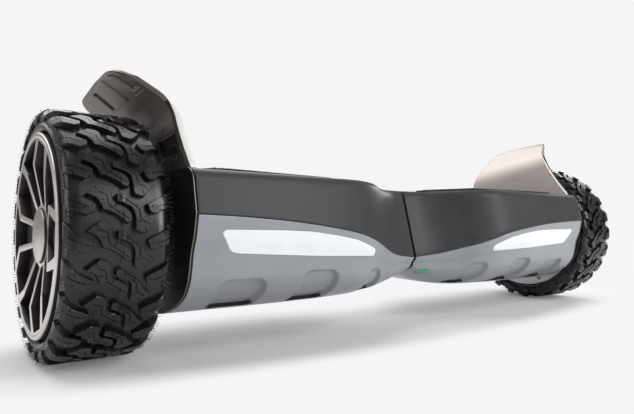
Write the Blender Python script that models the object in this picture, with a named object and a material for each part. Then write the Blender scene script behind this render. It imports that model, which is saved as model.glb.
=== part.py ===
"""Two-wheeled self-balancing board with off-road tyres and metal fenders.

Metres, +Z up, ground at z = 0. X runs along the axle, the lights face -Y.
"""
import math
import bmesh
import bpy
import numpy as np
from mathutils import Matrix, Vector

# Wheels
WHEEL_RADIUS = 0.100
WHEEL_OFFSET = 0.0560
TREAD_HALF_WIDTH = 0.0368
TREAD_CROWN_HALF = 0.0270
SHOULDER_DROP = 0.0074
TYRE_HEIGHT = 0.0192
RIM_WALL = 0.0050
LUG_DEPTH = 0.0055
TREAD_PITCHES = 24
COVER_STANDOFF = 0.0375
COVER_THICK = 0.0085
HUB_CAP_RADIUS = 0.0215
HUB_CAP_RECESS = 0.0036
HUB_CAP_THICK = 0.0040
MOTOR_COVER_SETBACK = 0.0329
MOTOR_COVER_THICK = 0.0035
COVER_SCREW_INSET = 0.0088
SCREW_RADIUS = 0.0016
AXLE_RADIUS = 0.0080
STATOR_LENGTH = 0.0300
AIR_GAP = 0.00115
MAGNET_THICK = 0.0035
BEARING_RADIUS = 0.0160
BEARING_WIDTH = 0.0080
SPOKE_PAIRS = 5
HUB_RING = 0.0025
OUTER_RING = 0.0055
# Middle line of a spoke: inset from the cover's rim, degrees from its pair's middle, half width
SPOKE_LINE = ((0.0590, 16.4, 0.0016), (0.0248, 22.0, 0.0021), (0.0008, 9.5, 0.0032))

# Body
BODY_END_X = 0.2847
CENTRE_GAP = 0.0012
WALL = 0.0025
WAIST_HALF_DEPTH = 0.0550
END_HALF_DEPTH = 0.1000
WAIST_TOP_HALF = 0.0340
END_TOP_HALF = 0.0915
SEAM_GAP = 0.0006
UPPER_CORNER = 0.0060
# Heights over the axle's line
WAIST_TOP_RISE = 0.0500
DECK_RISE = 0.0545
WAIST_SEAM_RISE = -0.0250
END_SEAM_RISE = 0.0190
WAIST_BELLY_RISE = -0.0430
BELLY_RISE = -0.0650
DISH_TOP_RISE = -0.0300
PLATE_BASE_RISE = -0.0300
DISH_DEPTH = 0.0040
DISH_CENTRES = (0.0960, 0.1670, 0.2410)
DISH_HALF_WIDTHS = (0.0150, 0.0215, 0.0215)
DISH_INNER_HALF = 0.0520
DISH_SLOPE = 0.0100

# Fender
SKIN_THICK = 0.0052
LINER_THICK = 0.0032
ROOF_SKIN_THICK = 0.0024
ROOF_LINER_THICK = 0.0024
FENDER_BASE_HALF = 0.0830
FENDER_REACH = 0.0400
FENDER_BEND_RADIUS = 0.0160
FENDER_CORNER = 0.0120
BEND_STEPS = 4
# Corners of the folded roof: y, height over the top of the tyre
FENDER_BEND_FRONT = (-0.0400, 0.0065)
FENDER_BEND_BACK = (0.0740, -0.0165)
FENDER_TIP_FRONT = (-0.0200, 0.0352)
FENDER_TIP_BACK = (0.0740, 0.0145)

# Foot pads and switches
PAD_INNER_X = 0.1100
PAD_OUTER_X = 0.2640
PAD_HALF_INNER = 0.0560
PAD_HALF_OUTER = 0.0760
PAD_THICK = 0.0022
PAD_TRAVEL = 0.0014
PAD_BOSS_INSET = 0.0170

# Inner frame
PLATE_THICK = 0.0080
FRAME_START_X = 0.0060
FRAME_HALF_WIDTH = 0.0240
TUBE_RADIUS = 0.0170
TUBE_BORE = 0.0130
TUBE_END_X = 0.0515
COLLAR_RADIUS = 0.0210
COLLAR_WIDTH = 0.0040
BUSH_THICK = 0.0026
BLOCK_START_X = 0.2300
BLOCK_END_X = 0.2700
LEG_INSET = 0.0050
CLAMP_HEIGHT = 0.0140
CLAMP_SCREW_RADIUS = 0.0020
CABLE_RADIUS = 0.0030

# Fits
FIT = 0.00030
SLIDE_FIT = 0.00015

# Electrics; a place is x and the height over the axle's line
ELECTRICS_START_X = 0.1000
BATTERY_SIZE = (0.1200, 0.0960, 0.0230)
BOARD_SIZE = (0.1080, 0.0900, 0.0018)
SINK_HEIGHT = 0.0120
SINK_FINS = 9
FIN_WIDTH = 0.0020
SINK_BASE = 0.0030
BUTTON_PLACE = (0.1500, -0.0120)
BUTTON_RADIUS = 0.0080
BUTTON_TRAVEL = 0.0015
PORT_PLACE = (0.0850, -0.0240)
PORT_RADIUS = 0.0080
CUP_WALL = 0.0026
CUP_DEPTH = 0.0110
CUP_FLOOR = 0.0022
CUP_PROUD = 0.0030
LIGHT_PLACE = (0.0200, -0.0425)
LIGHT_SIZE = (0.0080, 0.0026)

# Shape lines of the body between the waist (0) and the outer end (1)
STATIONS = (0.0, 0.07, 0.14, 0.21, 0.28, 0.35, 0.42, 0.53, 0.70, 0.88, 1.0)
DEPTH_LINE = (0.0, 0.07, 0.20, 0.42, 0.69, 0.88, 0.96, 1.0, 1.005, 1.005, 1.0)
SEAM_LINE = (0.0, 0.045, 0.11, 0.23, 0.36, 0.51, 0.64, 0.76, 0.89, 0.97, 1.0)
TOP_LINE = (0.0, 0.05, 0.21, 0.45, 0.71, 0.87, 0.94, 0.97, 1.0, 1.0, 1.0)
DECK_LINE = (0.0, 0.0, 0.10, 0.35, 0.70, 0.92, 1.0, 1.0, 1.0, 1.0, 1.0)
BELLY_LINE = (0.0, 0.36, 0.64, 0.80, 0.89, 0.93, 0.955, 0.98, 1.0, 1.0, 1.0)
# Belly outline: share of the half depth, share of the seam height
BELLY = ((1.0, 1.0), (0.97, 0.81), (0.925, 0.66), (0.905, 0.52), (0.875, 0.38),
         (0.79, 0.235), (0.64, 0.12), (0.46, 0.04), (0.30, 0.0), (0.0, 0.0))
# Light window outline: x from the centre, height over the axle's line
WINDOW_LINE = ((0.2650, 0.0050), (0.2615, 0.0077), (0.2080, 0.0068), (0.1800, 0.0050),
               (0.1500, 0.0008), (0.1250, -0.0047), (0.1010, -0.0120), (0.0990, -0.0155),
               (0.1030, -0.0174), (0.1650, -0.0158), (0.2070, -0.0138), (0.2480, -0.0118),
               (0.2545, -0.0104))

AXLE_Z = WHEEL_RADIUS
WHEEL_CENTRE_X = BODY_END_X + WHEEL_OFFSET
WAIST_TOP_Z = AXLE_Z + WAIST_TOP_RISE
DECK_Z = AXLE_Z + DECK_RISE
WAIST_SEAM_Z = AXLE_Z + WAIST_SEAM_RISE
END_SEAM_Z = AXLE_Z + END_SEAM_RISE
WAIST_BELLY_Z = AXLE_Z + WAIST_BELLY_RISE
BELLY_Z = AXLE_Z + BELLY_RISE
DISH_TOP_Z = AXLE_Z + DISH_TOP_RISE
PLATE_BASE_Z = AXLE_Z + PLATE_BASE_RISE
WINDOW = [(x, AXLE_Z + rise) for x, rise in WINDOW_LINE]
SHOULDER_RADIUS = WHEEL_RADIUS - SHOULDER_DROP
RIM_RADIUS = WHEEL_RADIUS - TYRE_HEIGHT
STATOR_RADIUS = RIM_RADIUS - RIM_WALL - SLIDE_FIT - MAGNET_THICK - AIR_GAP
COVER_PLANE_X = WHEEL_CENTRE_X + COVER_STANDOFF
MOTOR_COVER_X = WHEEL_CENTRE_X - MOTOR_COVER_SETBACK
PLATE_TOP_Z = PLATE_BASE_Z + PLATE_THICK
BODY_START_X = CENTRE_GAP / 2
STOP_GAP = 0.0001
PAD_BASE_Z = DECK_Z + PAD_TRAVEL + STOP_GAP
FENDER_X = BODY_END_X + FIT


def material(name, colour, metallic, roughness):
    mat = bpy.data.materials.new(name)
    mat.use_nodes = True
    shader = mat.node_tree.nodes["Principled BSDF"]
    shader.inputs["Base Color"].default_value = (*colour, 1.0)
    shader.inputs["Metallic"].default_value = metallic
    shader.inputs["Roughness"].default_value = roughness
    return mat


def curve(value, knots, levels):
    """Smooth line through the knots, flat beyond both ends."""
    if value <= knots[0]:
        return levels[0]
    if value >= knots[-1]:
        return levels[-1]
    i = 0
    while value > knots[i + 1]:
        i += 1
    span = knots[i + 1] - knots[i]
    t = (value - knots[i]) / span
    slopes = []
    for k in (i, i + 1):
        low = max(k - 1, 0)
        high = min(k + 1, len(knots) - 1)
        slopes.append((levels[high] - levels[low]) / (knots[high] - knots[low]))
    a = (1 + 2 * t) * (1 - t) ** 2 * levels[i]
    b = t * (1 - t) ** 2 * span * slopes[0]
    c = t * t * (3 - 2 * t) * levels[i + 1]
    d = t * t * (t - 1) * span * slopes[1]
    return a + b + c + d


def blend(low, high, line, share):
    return low + (high - low) * curve(share, STATIONS, line)


def body_lines(x):
    share = x / BODY_END_X
    return {
        "depth": blend(WAIST_HALF_DEPTH, END_HALF_DEPTH, DEPTH_LINE, share),
        "seam": blend(WAIST_SEAM_Z, END_SEAM_Z, SEAM_LINE, share),
        "top_half": blend(WAIST_TOP_HALF, END_TOP_HALF, TOP_LINE, share),
        "deck": blend(WAIST_TOP_Z, DECK_Z, DECK_LINE, share),
        "belly": blend(WAIST_BELLY_Z, BELLY_Z, BELLY_LINE, share),
    }


def bump(value, centre, half, edge):
    """1 inside centre +- half, falling smoothly to 0 over the edge width."""
    t = (half - abs(value - centre)) / edge + 0.5
    t = min(max(t, 0.0), 1.0)
    return t * t * (3 - 2 * t)


def inset(points, depth):
    """Moves an open (y, z) line to its inner side; the belly and top face inwards."""
    out = []
    for i, p in enumerate(points):
        a = np.array(points[max(i - 1, 0)])
        b = np.array(points[min(i + 1, len(points) - 1)])
        d = (b - a) / np.linalg.norm(b - a)
        out.append((p[0] + d[1] * depth, p[1] - d[0] * depth))
    return out


def upper_line(x, depth):
    """Front seam, up, over the deck and down to the back seam."""
    g = body_lines(x)
    corner = UPPER_CORNER
    base = (-g["depth"], g["seam"] + SEAM_GAP / 2)
    top = (-g["top_half"], g["deck"])
    side = np.array(top) - np.array(base)
    side = side / np.linalg.norm(side)
    start = np.array(top) - side * corner
    end = (top[0] + corner, top[1])
    half = [base]
    for t in (0.33, 0.67):
        half.append(tuple(np.array(base) + (start - np.array(base)) * t))
    for t in (0.0, 0.33, 0.67, 1.0):
        q = (1 - t) ** 2 * start + 2 * t * (1 - t) * np.array(top) + t * t * np.array(end)
        half.append(tuple(q))
    half.append((end[0] * 0.5, top[1]))
    back = [(-y, z) for y, z in reversed(half)]
    line = half + [(0.0, top[1])] + back
    if depth:
        line = inset(line, depth)
        line[0] = (line[0][0], half[0][1])
        line[-1] = (line[-1][0], half[0][1])
    return line


def lower_line(x, depth):
    """Front seam, down under the belly and up to the back seam."""
    g = body_lines(x)
    height = g["seam"] - SEAM_GAP / 2 - g["belly"]
    shares = np.linspace(0.0, 1.0, 11)
    knots = np.linspace(0.0, 1.0, len(BELLY))
    half = []
    for s in shares[:-1]:
        y = curve(s, knots, [b[0] for b in BELLY]) * g["depth"]
        z = g["belly"] + max(curve(s, knots, [b[1] for b in BELLY]), 0.0) * height
        half.append((-y, z))
    middle = (0.0, g["belly"])
    line = half + [middle] + [(-y, z) for y, z in reversed(half)]
    push = []
    for y, z in line:
        dish = 0.0
        for centre, width in zip(DISH_CENTRES, DISH_HALF_WIDTHS):
            dish = max(dish, bump(x, centre, width, DISH_SLOPE))
        dish = dish * bump(z, BELLY_Z, DISH_TOP_Z - BELLY_Z, DISH_SLOPE)
        dish = dish * bump(abs(y), END_HALF_DEPTH, END_HALF_DEPTH - DISH_INNER_HALF, DISH_SLOPE)
        push.append(DISH_DEPTH * dish)
    out = []
    for i, p in enumerate(line):
        a = np.array(line[max(i - 1, 0)])
        b = np.array(line[min(i + 1, len(line) - 1)])
        d = (b - a) / np.linalg.norm(b - a)
        shift = push[i] + depth
        out.append((p[0] - d[1] * shift, p[1] + d[0] * shift))
    if depth:
        out[0] = (out[0][0], line[0][1])
        out[-1] = (out[-1][0], line[0][1])
    return out


def add(name, verts, faces, mat, at=(0.0, 0.0, 0.0), side=1):
    """Makes an object from world points; side -1 mirrors them across X."""
    origin = Vector((at[0] * side, at[1], at[2]))
    mesh = bpy.data.meshes.new(name)
    points = [(v[0] * side - origin.x, v[1] - origin.y, v[2] - origin.z) for v in verts]
    if side < 0:
        faces = [tuple(reversed(f)) for f in faces]
    mesh.from_pydata(points, [], faces)
    mesh.validate()
    if mat is not None:
        mesh.materials.append(mat)
    obj = bpy.data.objects.new(name, mesh)
    obj.location = origin
    bpy.context.scene.collection.objects.link(obj)
    fix_normals(obj)
    return obj


def fix_normals(obj):
    bm = bmesh.new()
    bm.from_mesh(obj.data)
    bmesh.ops.remove_doubles(bm, verts=bm.verts, dist=1e-6)
    bmesh.ops.recalc_face_normals(bm, faces=bm.faces)
    bm.to_mesh(obj.data)
    bm.free()


def smooth_by_angle(obj, degrees=32):
    limit = math.cos(math.radians(degrees))
    mesh = obj.data
    mesh.polygons.foreach_set("use_smooth", [True] * len(mesh.polygons))
    faces = {}
    for p in mesh.polygons:
        for k in p.edge_keys:
            faces.setdefault(k, []).append(p.normal.copy())
    for edge in mesh.edges:
        pair = faces.get(edge.key, [])
        edge.use_edge_sharp = len(pair) == 2 and pair[0].dot(pair[1]) < limit


def combine(obj, cutter, operation="DIFFERENCE"):
    """Applies one exact boolean and removes the cutter."""
    mod = obj.modifiers.new("cut", "BOOLEAN")
    mod.object = cutter
    mod.operation = operation
    mod.solver = "EXACT"
    bpy.context.view_layer.update()
    graph = bpy.context.evaluated_depsgraph_get()
    mesh = bpy.data.meshes.new_from_object(obj.evaluated_get(graph))
    old = obj.data
    obj.modifiers.clear()
    obj.data = mesh
    mesh.name = obj.name
    bpy.data.meshes.remove(old)
    bpy.data.objects.remove(cutter)
    return obj


def shell(name, line_of, stations, mat, side, at):
    """Closed tray between an outer and an inner loft, open along the seam."""
    outer = [line_of(x, 0.0) for x in stations]
    shifted = list(stations)
    shifted[0] += WALL
    shifted[-1] -= WALL
    inner = [line_of(x, WALL) for x in shifted]
    count = len(outer[0])
    rows = len(stations)
    verts = []
    for lines, xs in ((outer, stations), (inner, shifted)):
        for line, x in zip(lines, xs):
            verts.extend((x, y, z) for y, z in line)
    base = rows * count
    faces = []
    for i in range(rows - 1):
        for j in range(count - 1):
            a = i * count + j
            faces.append((a, a + 1, a + count + 1, a + count))
            b = base + a
            faces.append((b, b + count, b + count + 1, b + 1))
        for j in (0, count - 1):
            a = i * count + j
            faces.append((a, a + count, base + a + count, base + a))
    for i in (0, rows - 1):
        row = [i * count + j for j in range(count)]
        faces.append(tuple(row))
        faces.append(tuple(base + k for k in row))
        faces.append((row[0], row[-1], base + row[-1], base + row[0]))
    return add(name, verts, faces, mat, at=at, side=side)


def prism(name, outlines, axis, low, high, mat=None, side=1, at=(0.0, 0.0, 0.0)):
    """Extrudes closed outlines; their points use the two other axes in order."""
    verts = []
    faces = []
    for outline in outlines:
        base = len(verts)
        n = len(outline)
        for level in (low, high):
            for a, b in outline:
                point = {"X": (level, a, b), "Y": (a, level, b), "Z": (a, b, level)}[axis]
                verts.append(point)
        faces.append(tuple(range(base, base + n)))
        faces.append(tuple(range(base + n, base + 2 * n)))
        for i in range(n):
            j = (i + 1) % n
            faces.append((base + i, base + j, base + n + j, base + n + i))
    return add(name, verts, faces, mat, at=at, side=side)


def box(name, x, y, z, mat=None, side=1, at=None):
    outline = ((x[0], y[0]), (x[1], y[0]), (x[1], y[1]), (x[0], y[1]))
    if at is None:
        at = ((x[0] + x[1]) / 2, (y[0] + y[1]) / 2, (z[0] + z[1]) / 2)
    return prism(name, [outline], "Z", z[0], z[1], mat, side, at)


def ring_points(radius, count, start=0.0):
    step = 2 * math.pi / count
    return [(radius * math.cos(start + i * step), radius * math.sin(start + i * step))
            for i in range(count)]


def lathe(name, profile, mat, side=1, segments=48, at=None, centre=None, axis="X"):
    """Turns a closed (along, radius) outline about an axis parallel to X or Y."""
    if centre is None:
        centre = (0.0, AXLE_Z)
    verts = []
    for i in range(segments):
        angle = 2 * math.pi * i / segments - math.pi / 2
        c = math.cos(angle)
        s = math.sin(angle)
        for along, r in profile:
            if axis == "X":
                verts.append((along, centre[0] + r * c, centre[1] + r * s))
            else:
                verts.append((centre[0] + r * c, along, centre[1] + r * s))
    n = len(profile)
    faces = []
    for i in range(segments):
        k = (i + 1) % segments
        for j in range(n):
            m = (j + 1) % n
            if profile[j][1] < 1e-7 and profile[m][1] < 1e-7:
                continue
            faces.append((i * n + j, i * n + m, k * n + m, k * n + j))
    if at is None:
        at = (WHEEL_CENTRE_X, 0.0, AXLE_Z)
    return add(name, verts, faces, mat, at=at, side=side)


def stack(name, rings, mat, side=1, at=(0.0, 0.0, 0.0)):
    """Closes a pile of rings that have the same number of points."""
    n = len(rings[0])
    verts = [p for ring in rings for p in ring]
    faces = [tuple(range(n)), tuple(range(len(verts) - n, len(verts)))]
    for i in range(len(rings) - 1):
        for j in range(n):
            m = (j + 1) % n
            faces.append((i * n + j, i * n + m, (i + 1) * n + m, (i + 1) * n + j))
    return add(name, verts, faces, mat, at=at, side=side)


def rod(name, start, end, radius, mat, segments=16, side=1, at=None):
    """Solid round bar between two points."""
    a = Vector(start)
    b = Vector(end)
    turn = (b - a).to_track_quat("Z", "Y").to_matrix().to_4x4()
    rings = []
    for point in (a, b):
        ring = []
        for y, z in ring_points(radius, segments):
            ring.append(tuple(Matrix.Translation(point) @ turn @ Vector((y, z, 0.0))))
        rings.append(ring)
    return stack(name, rings, mat, side, at if at else tuple((a + b) / 2))


def shrink(outline, distance):
    """Moves each corner of a convex outline inwards."""
    centre = np.mean(np.array(outline), axis=0)
    out = []
    n = len(outline)
    for i in range(n):
        p = np.array(outline[i])
        a = np.array(outline[i - 1])
        b = np.array(outline[(i + 1) % n])
        d = (b - a) / np.linalg.norm(b - a)
        normal = np.array((d[1], -d[0]))
        if normal.dot(p - centre) < 0:
            normal = -normal
        out.append(tuple(p - normal * distance))
    return out


def side_depth(x, z):
    """Half depth of the lower cover at a height, without the dishes."""
    g = body_lines(x)
    height = g["seam"] - SEAM_GAP / 2 - g["belly"]
    share = (z - g["belly"]) / height
    rows = sorted((b[1], b[0]) for b in BELLY)
    return float(np.interp(share, [r[0] for r in rows], [r[1] for r in rows])) * g["depth"]


def wall_patch(name, x_low, x_high, count, points, mat, side, at):
    """Closed piece of the lower cover's front wall, cut to shape afterwards."""
    verts = []
    stations = np.linspace(x_low, x_high, count)
    for depth in (0.0, WALL):
        for x in stations:
            line = lower_line(x, depth)[points[0]:points[1]]
            verts.extend((x, y, z) for y, z in line)
    n = points[1] - points[0]
    base = n * count
    faces = []
    for i in range(count - 1):
        for j in range(n - 1):
            a = i * n + j
            faces.append((a, a + 1, a + n + 1, a + n))
            faces.append((base + a, base + a + n, base + a + n + 1, base + a + 1))
        for j in (0, n - 1):
            a = i * n + j
            faces.append((a, a + n, base + a + n, base + a))
    for i in (0, count - 1):
        for j in range(n - 1):
            a = i * n + j
            faces.append((a, a + 1, base + a + 1, base + a))
    return add(name, verts, faces, mat, at=at, side=side)


def fender_grid():
    """Points of the folded sheet: up the body's end, round the bend and out to the tip."""
    bend = FENDER_BEND_RADIUS
    top = 2 * WHEEL_RADIUS
    grid = []
    for u in (0.0, 0.04, 0.15, 0.38, 0.62, 0.85, 0.96, 1.0):
        base = Vector((FENDER_X, FENDER_BASE_HALF * (2 * u - 1), DECK_Z))
        fold_y = FENDER_BEND_FRONT[0] + (FENDER_BEND_BACK[0] - FENDER_BEND_FRONT[0]) * u
        fold_z = FENDER_BEND_FRONT[1] + (FENDER_BEND_BACK[1] - FENDER_BEND_FRONT[1]) * u
        tip_y = FENDER_TIP_FRONT[0] + (FENDER_TIP_BACK[0] - FENDER_TIP_FRONT[0]) * u
        tip_z = FENDER_TIP_FRONT[1] + (FENDER_TIP_BACK[1] - FENDER_TIP_FRONT[1]) * u
        fold = Vector((FENDER_X, fold_y, top + fold_z))
        tip = Vector((FENDER_X + FENDER_REACH, tip_y, top + tip_z))
        edge = max(0.0, 1.0 - min(u, 1 - u) / 0.15)
        tip = tip + (fold - tip).normalized() * FENDER_CORNER * (1 - math.sqrt(1 - edge * edge))
        lower = fold + (base - fold).normalized() * bend
        upper = fold + (tip - fold).normalized() * bend
        row = []
        for step in range(BEND_STEPS + 1):
            t = step / BEND_STEPS
            row.append(lower * (1 - t) ** 2 + fold * 2 * t * (1 - t) + upper * t * t)
        row.append((upper + tip) / 2)
        row.append(tip)
        grid.append(row)
    return grid


def plate_loop():
    """Outline of the body's end below the fender, as (y, z) from front to back."""
    up = list(reversed(upper_line(BODY_END_X, 0.0)))
    loop = [(-FENDER_BASE_HALF, DECK_Z)]
    loop += [p for p in up if p[0] < -FENDER_BASE_HALF - 1e-4]
    loop += lower_line(BODY_END_X, 0.0)[1:-1]
    loop += [p for p in up if p[0] > FENDER_BASE_HALF + 1e-4]
    loop += [(FENDER_BASE_HALF, DECK_Z)]
    return loop


def fender_plate(name, start, thick, roof_start, roof_thick, foot, mat, side):
    """Folded sheet whose foot outline stands on the deck or covers the body's end."""
    grid = fender_grid()
    rows = len(grid[0])
    count = len(grid)
    verts = []
    for share in (0, 1):
        for i in range(count):
            for j in range(rows):
                a = grid[min(i + 1, count - 1)][j] - grid[max(i - 1, 0)][j]
                b = grid[i][min(j + 1, rows - 1)] - grid[i][max(j - 1, 0)]
                normal = a.cross(b).normalized()
                if normal.x < 0:
                    normal = -normal
                if j == 0:
                    normal = Vector((1.0, 0.0, 0.0))
                roof = min(j / BEND_STEPS, 1.0)
                depth = start + (roof_start - start) * roof
                depth += share * (thick + (roof_thick - thick) * roof)
                verts.append(tuple(grid[i][j] + normal * depth))
        verts.extend((FENDER_X + start + share * thick, y, z) for y, z in foot)
    base = count * rows + len(foot)
    faces = []
    for i in range(count - 1):
        for j in range(rows - 1):
            a = i * rows + j
            faces.append((a, a + 1, a + rows + 1, a + rows))
            faces.append((base + a, base + a + rows, base + a + rows + 1, base + a + 1))
    foot_back = [count * rows + k for k in range(len(foot) - 1, -1, -1)]
    rim = list(range(rows))
    rim += [i * rows + rows - 1 for i in range(1, count)]
    rim += [(count - 1) * rows + j for j in range(rows - 2, -1, -1)]
    rim += foot_back
    flat = [i * rows for i in range(count)] + foot_back
    faces.append(tuple(flat))
    faces.append(tuple(base + k for k in flat))
    for i in range(len(rim)):
        k = (i + 1) % len(rim)
        faces.append((rim[i], rim[k], base + rim[k], base + rim[i]))
    return add(name, verts, faces, mat, at=(FENDER_X + start, 0.0, DECK_Z), side=side)


def fender(side, prefix, mats):
    """Metal skin on the deck's end, and the plastic liner behind it."""
    foot = [(y, DECK_Z + FIT) for y in (-FENDER_BASE_HALF, FENDER_BASE_HALF)]
    back = -(SKIN_THICK + FIT)
    fender_plate(prefix + "fender_skin", back, SKIN_THICK, back, ROOF_SKIN_THICK, foot,
                 mats["skin"], side)
    liner = fender_plate(prefix + "fender_liner", 0.0, LINER_THICK, back + ROOF_SKIN_THICK + FIT,
                         ROOF_LINER_THICK, plate_loop(), mats["liner"], side)
    hole = rod("hole", (BODY_END_X - 0.01, 0.0, AXLE_Z), (BODY_END_X + 0.02, 0.0, AXLE_Z),
               AXLE_RADIUS + 0.003, None, 24, side)
    combine(liner, hole)


def tyre(name, mat, side):
    """Tyre with stepped lugs: a moulded carcass, shoulder lugs and centre blocks."""
    bore = RIM_RADIUS + SLIDE_FIT
    half = TREAD_HALF_WIDTH
    crown = TREAD_CROWN_HALF
    profile = [(-half + 0.0033, bore, None), (half - 0.0033, bore, None),
               (half - 0.0005, bore + 0.003, None), (half, SHOULDER_RADIUS - 0.004, None),
               (half - 0.0003, SHOULDER_RADIUS, 2), (half - 0.0036, WHEEL_RADIUS - 0.003, 2),
               (crown, WHEEL_RADIUS, 2), (crown * 0.5, WHEEL_RADIUS, 1),
               (0.0, WHEEL_RADIUS, 0), (-crown * 0.5, WHEEL_RADIUS, -1),
               (-crown, WHEEL_RADIUS, -2), (-half + 0.0036, WHEEL_RADIUS - 0.003, -2),
               (-half + 0.0003, SHOULDER_RADIUS, -2),
               (-half, SHOULDER_RADIUS - 0.004, None), (-half + 0.0005, bore + 0.003, None)]
    phases = {2: (0, 1), 1: (0, 1, 3), 0: (0, 2, 3), -1: (0, 1, 2), -2: (0, 3)}
    segments = TREAD_PITCHES * 4
    verts = []
    for i in range(segments):
        angle = 2 * math.pi * i / segments - math.pi / 2
        for x, r, row in profile:
            if row is not None and i % 4 not in phases[row]:
                r = r - LUG_DEPTH * (0.5 if r < WHEEL_RADIUS - 0.004 else 1.0)
            verts.append((WHEEL_CENTRE_X + x, r * math.cos(angle), AXLE_Z + r * math.sin(angle)))
    n = len(profile)
    faces = []
    for i in range(segments):
        k = (i + 1) % segments
        for j in range(n):
            m = (j + 1) % n
            faces.append((i * n + j, i * n + m, k * n + m, k * n + j))
    return add(name, verts, faces, mat, at=(WHEEL_CENTRE_X, 0.0, AXLE_Z), side=side)


def arc(radius, low, high, count):
    angles = np.linspace(math.radians(low), math.radians(high), count)
    return [(radius * math.cos(a), AXLE_Z + radius * math.sin(a)) for a in angles]


def spoke_edge(offset):
    """Corners of a spoke's edge as (radius, degrees from the middle of its pair)."""
    line = []
    for inset_by, degrees, half in SPOKE_LINE:
        radius = RIM_RADIUS - inset_by
        line.append((radius, math.radians(degrees), half))
    points = [np.array((r * math.cos(a), r * math.sin(a))) for r, a, half in line]
    out = []
    for i, (r, a, half) in enumerate(line):
        d = points[min(i + 1, len(points) - 1)] - points[max(i - 1, 0)]
        d = d / np.linalg.norm(d)
        p = points[i] + np.array((-d[1], d[0])) * half * offset
        out.append((float(np.hypot(p[0], p[1])), math.degrees(math.atan2(p[1], p[0]))))
    return out


def edge_at(edge, radius):
    """Degrees of a spoke's edge where it crosses a radius."""
    return float(np.interp(radius, [e[0] for e in edge], [e[1] for e in edge]))


def pocket(middle, edge, away):
    """Closed (y, z) outline of one pocket between two mirrored spoke edges."""
    inner = HUB_CAP_RADIUS + FIT + HUB_RING
    outer = RIM_RADIUS - FIT - OUTER_RING
    levels = (inner, edge[1][0], outer)
    half = []
    for radius in levels:
        degrees = edge_at(edge, radius)
        half.append((radius, away - degrees if away else degrees))
    outline = arc(inner, middle - half[0][1], middle + half[0][1], 3)
    outline += arc(levels[1], middle + half[1][1], middle + half[1][1], 1)
    outline += arc(outer, middle + half[2][1], middle - half[2][1], 5)
    outline += arc(levels[1], middle - half[1][1], middle - half[1][1], 1)
    return outline


def wheel_cover(prefix, mat, side):
    """Disc with pairs of bent spokes: kite pockets inside the pairs, wide ones between."""
    back = COVER_PLANE_X - COVER_THICK
    bore = HUB_CAP_RADIUS + FIT
    rim = RIM_RADIUS - FIT
    face = COVER_PLANE_X - HUB_CAP_RECESS
    hub = bore + HUB_RING
    profile = [(back, bore), (back, rim), (COVER_PLANE_X - 0.001, rim),
               (COVER_PLANE_X, rim - 0.001), (COVER_PLANE_X, RIM_RADIUS - SPOKE_LINE[1][0]),
               (face, hub), (face, bore)]
    disc = lathe(prefix + "wheel_cover", profile, mat, side, 48)
    step = 360.0 / SPOKE_PAIRS
    pockets = []
    for i in range(SPOKE_PAIRS):
        middle = 180.0 + i * step
        pockets.append(pocket(middle, spoke_edge(-1.0), 0.0))
        pockets.append(pocket(middle + step / 2, spoke_edge(1.0), step / 2))
    cutter = prism("pockets", pockets, "X", back - 0.002, COVER_PLANE_X + 0.002, None, side)
    combine(disc, cutter)


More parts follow.
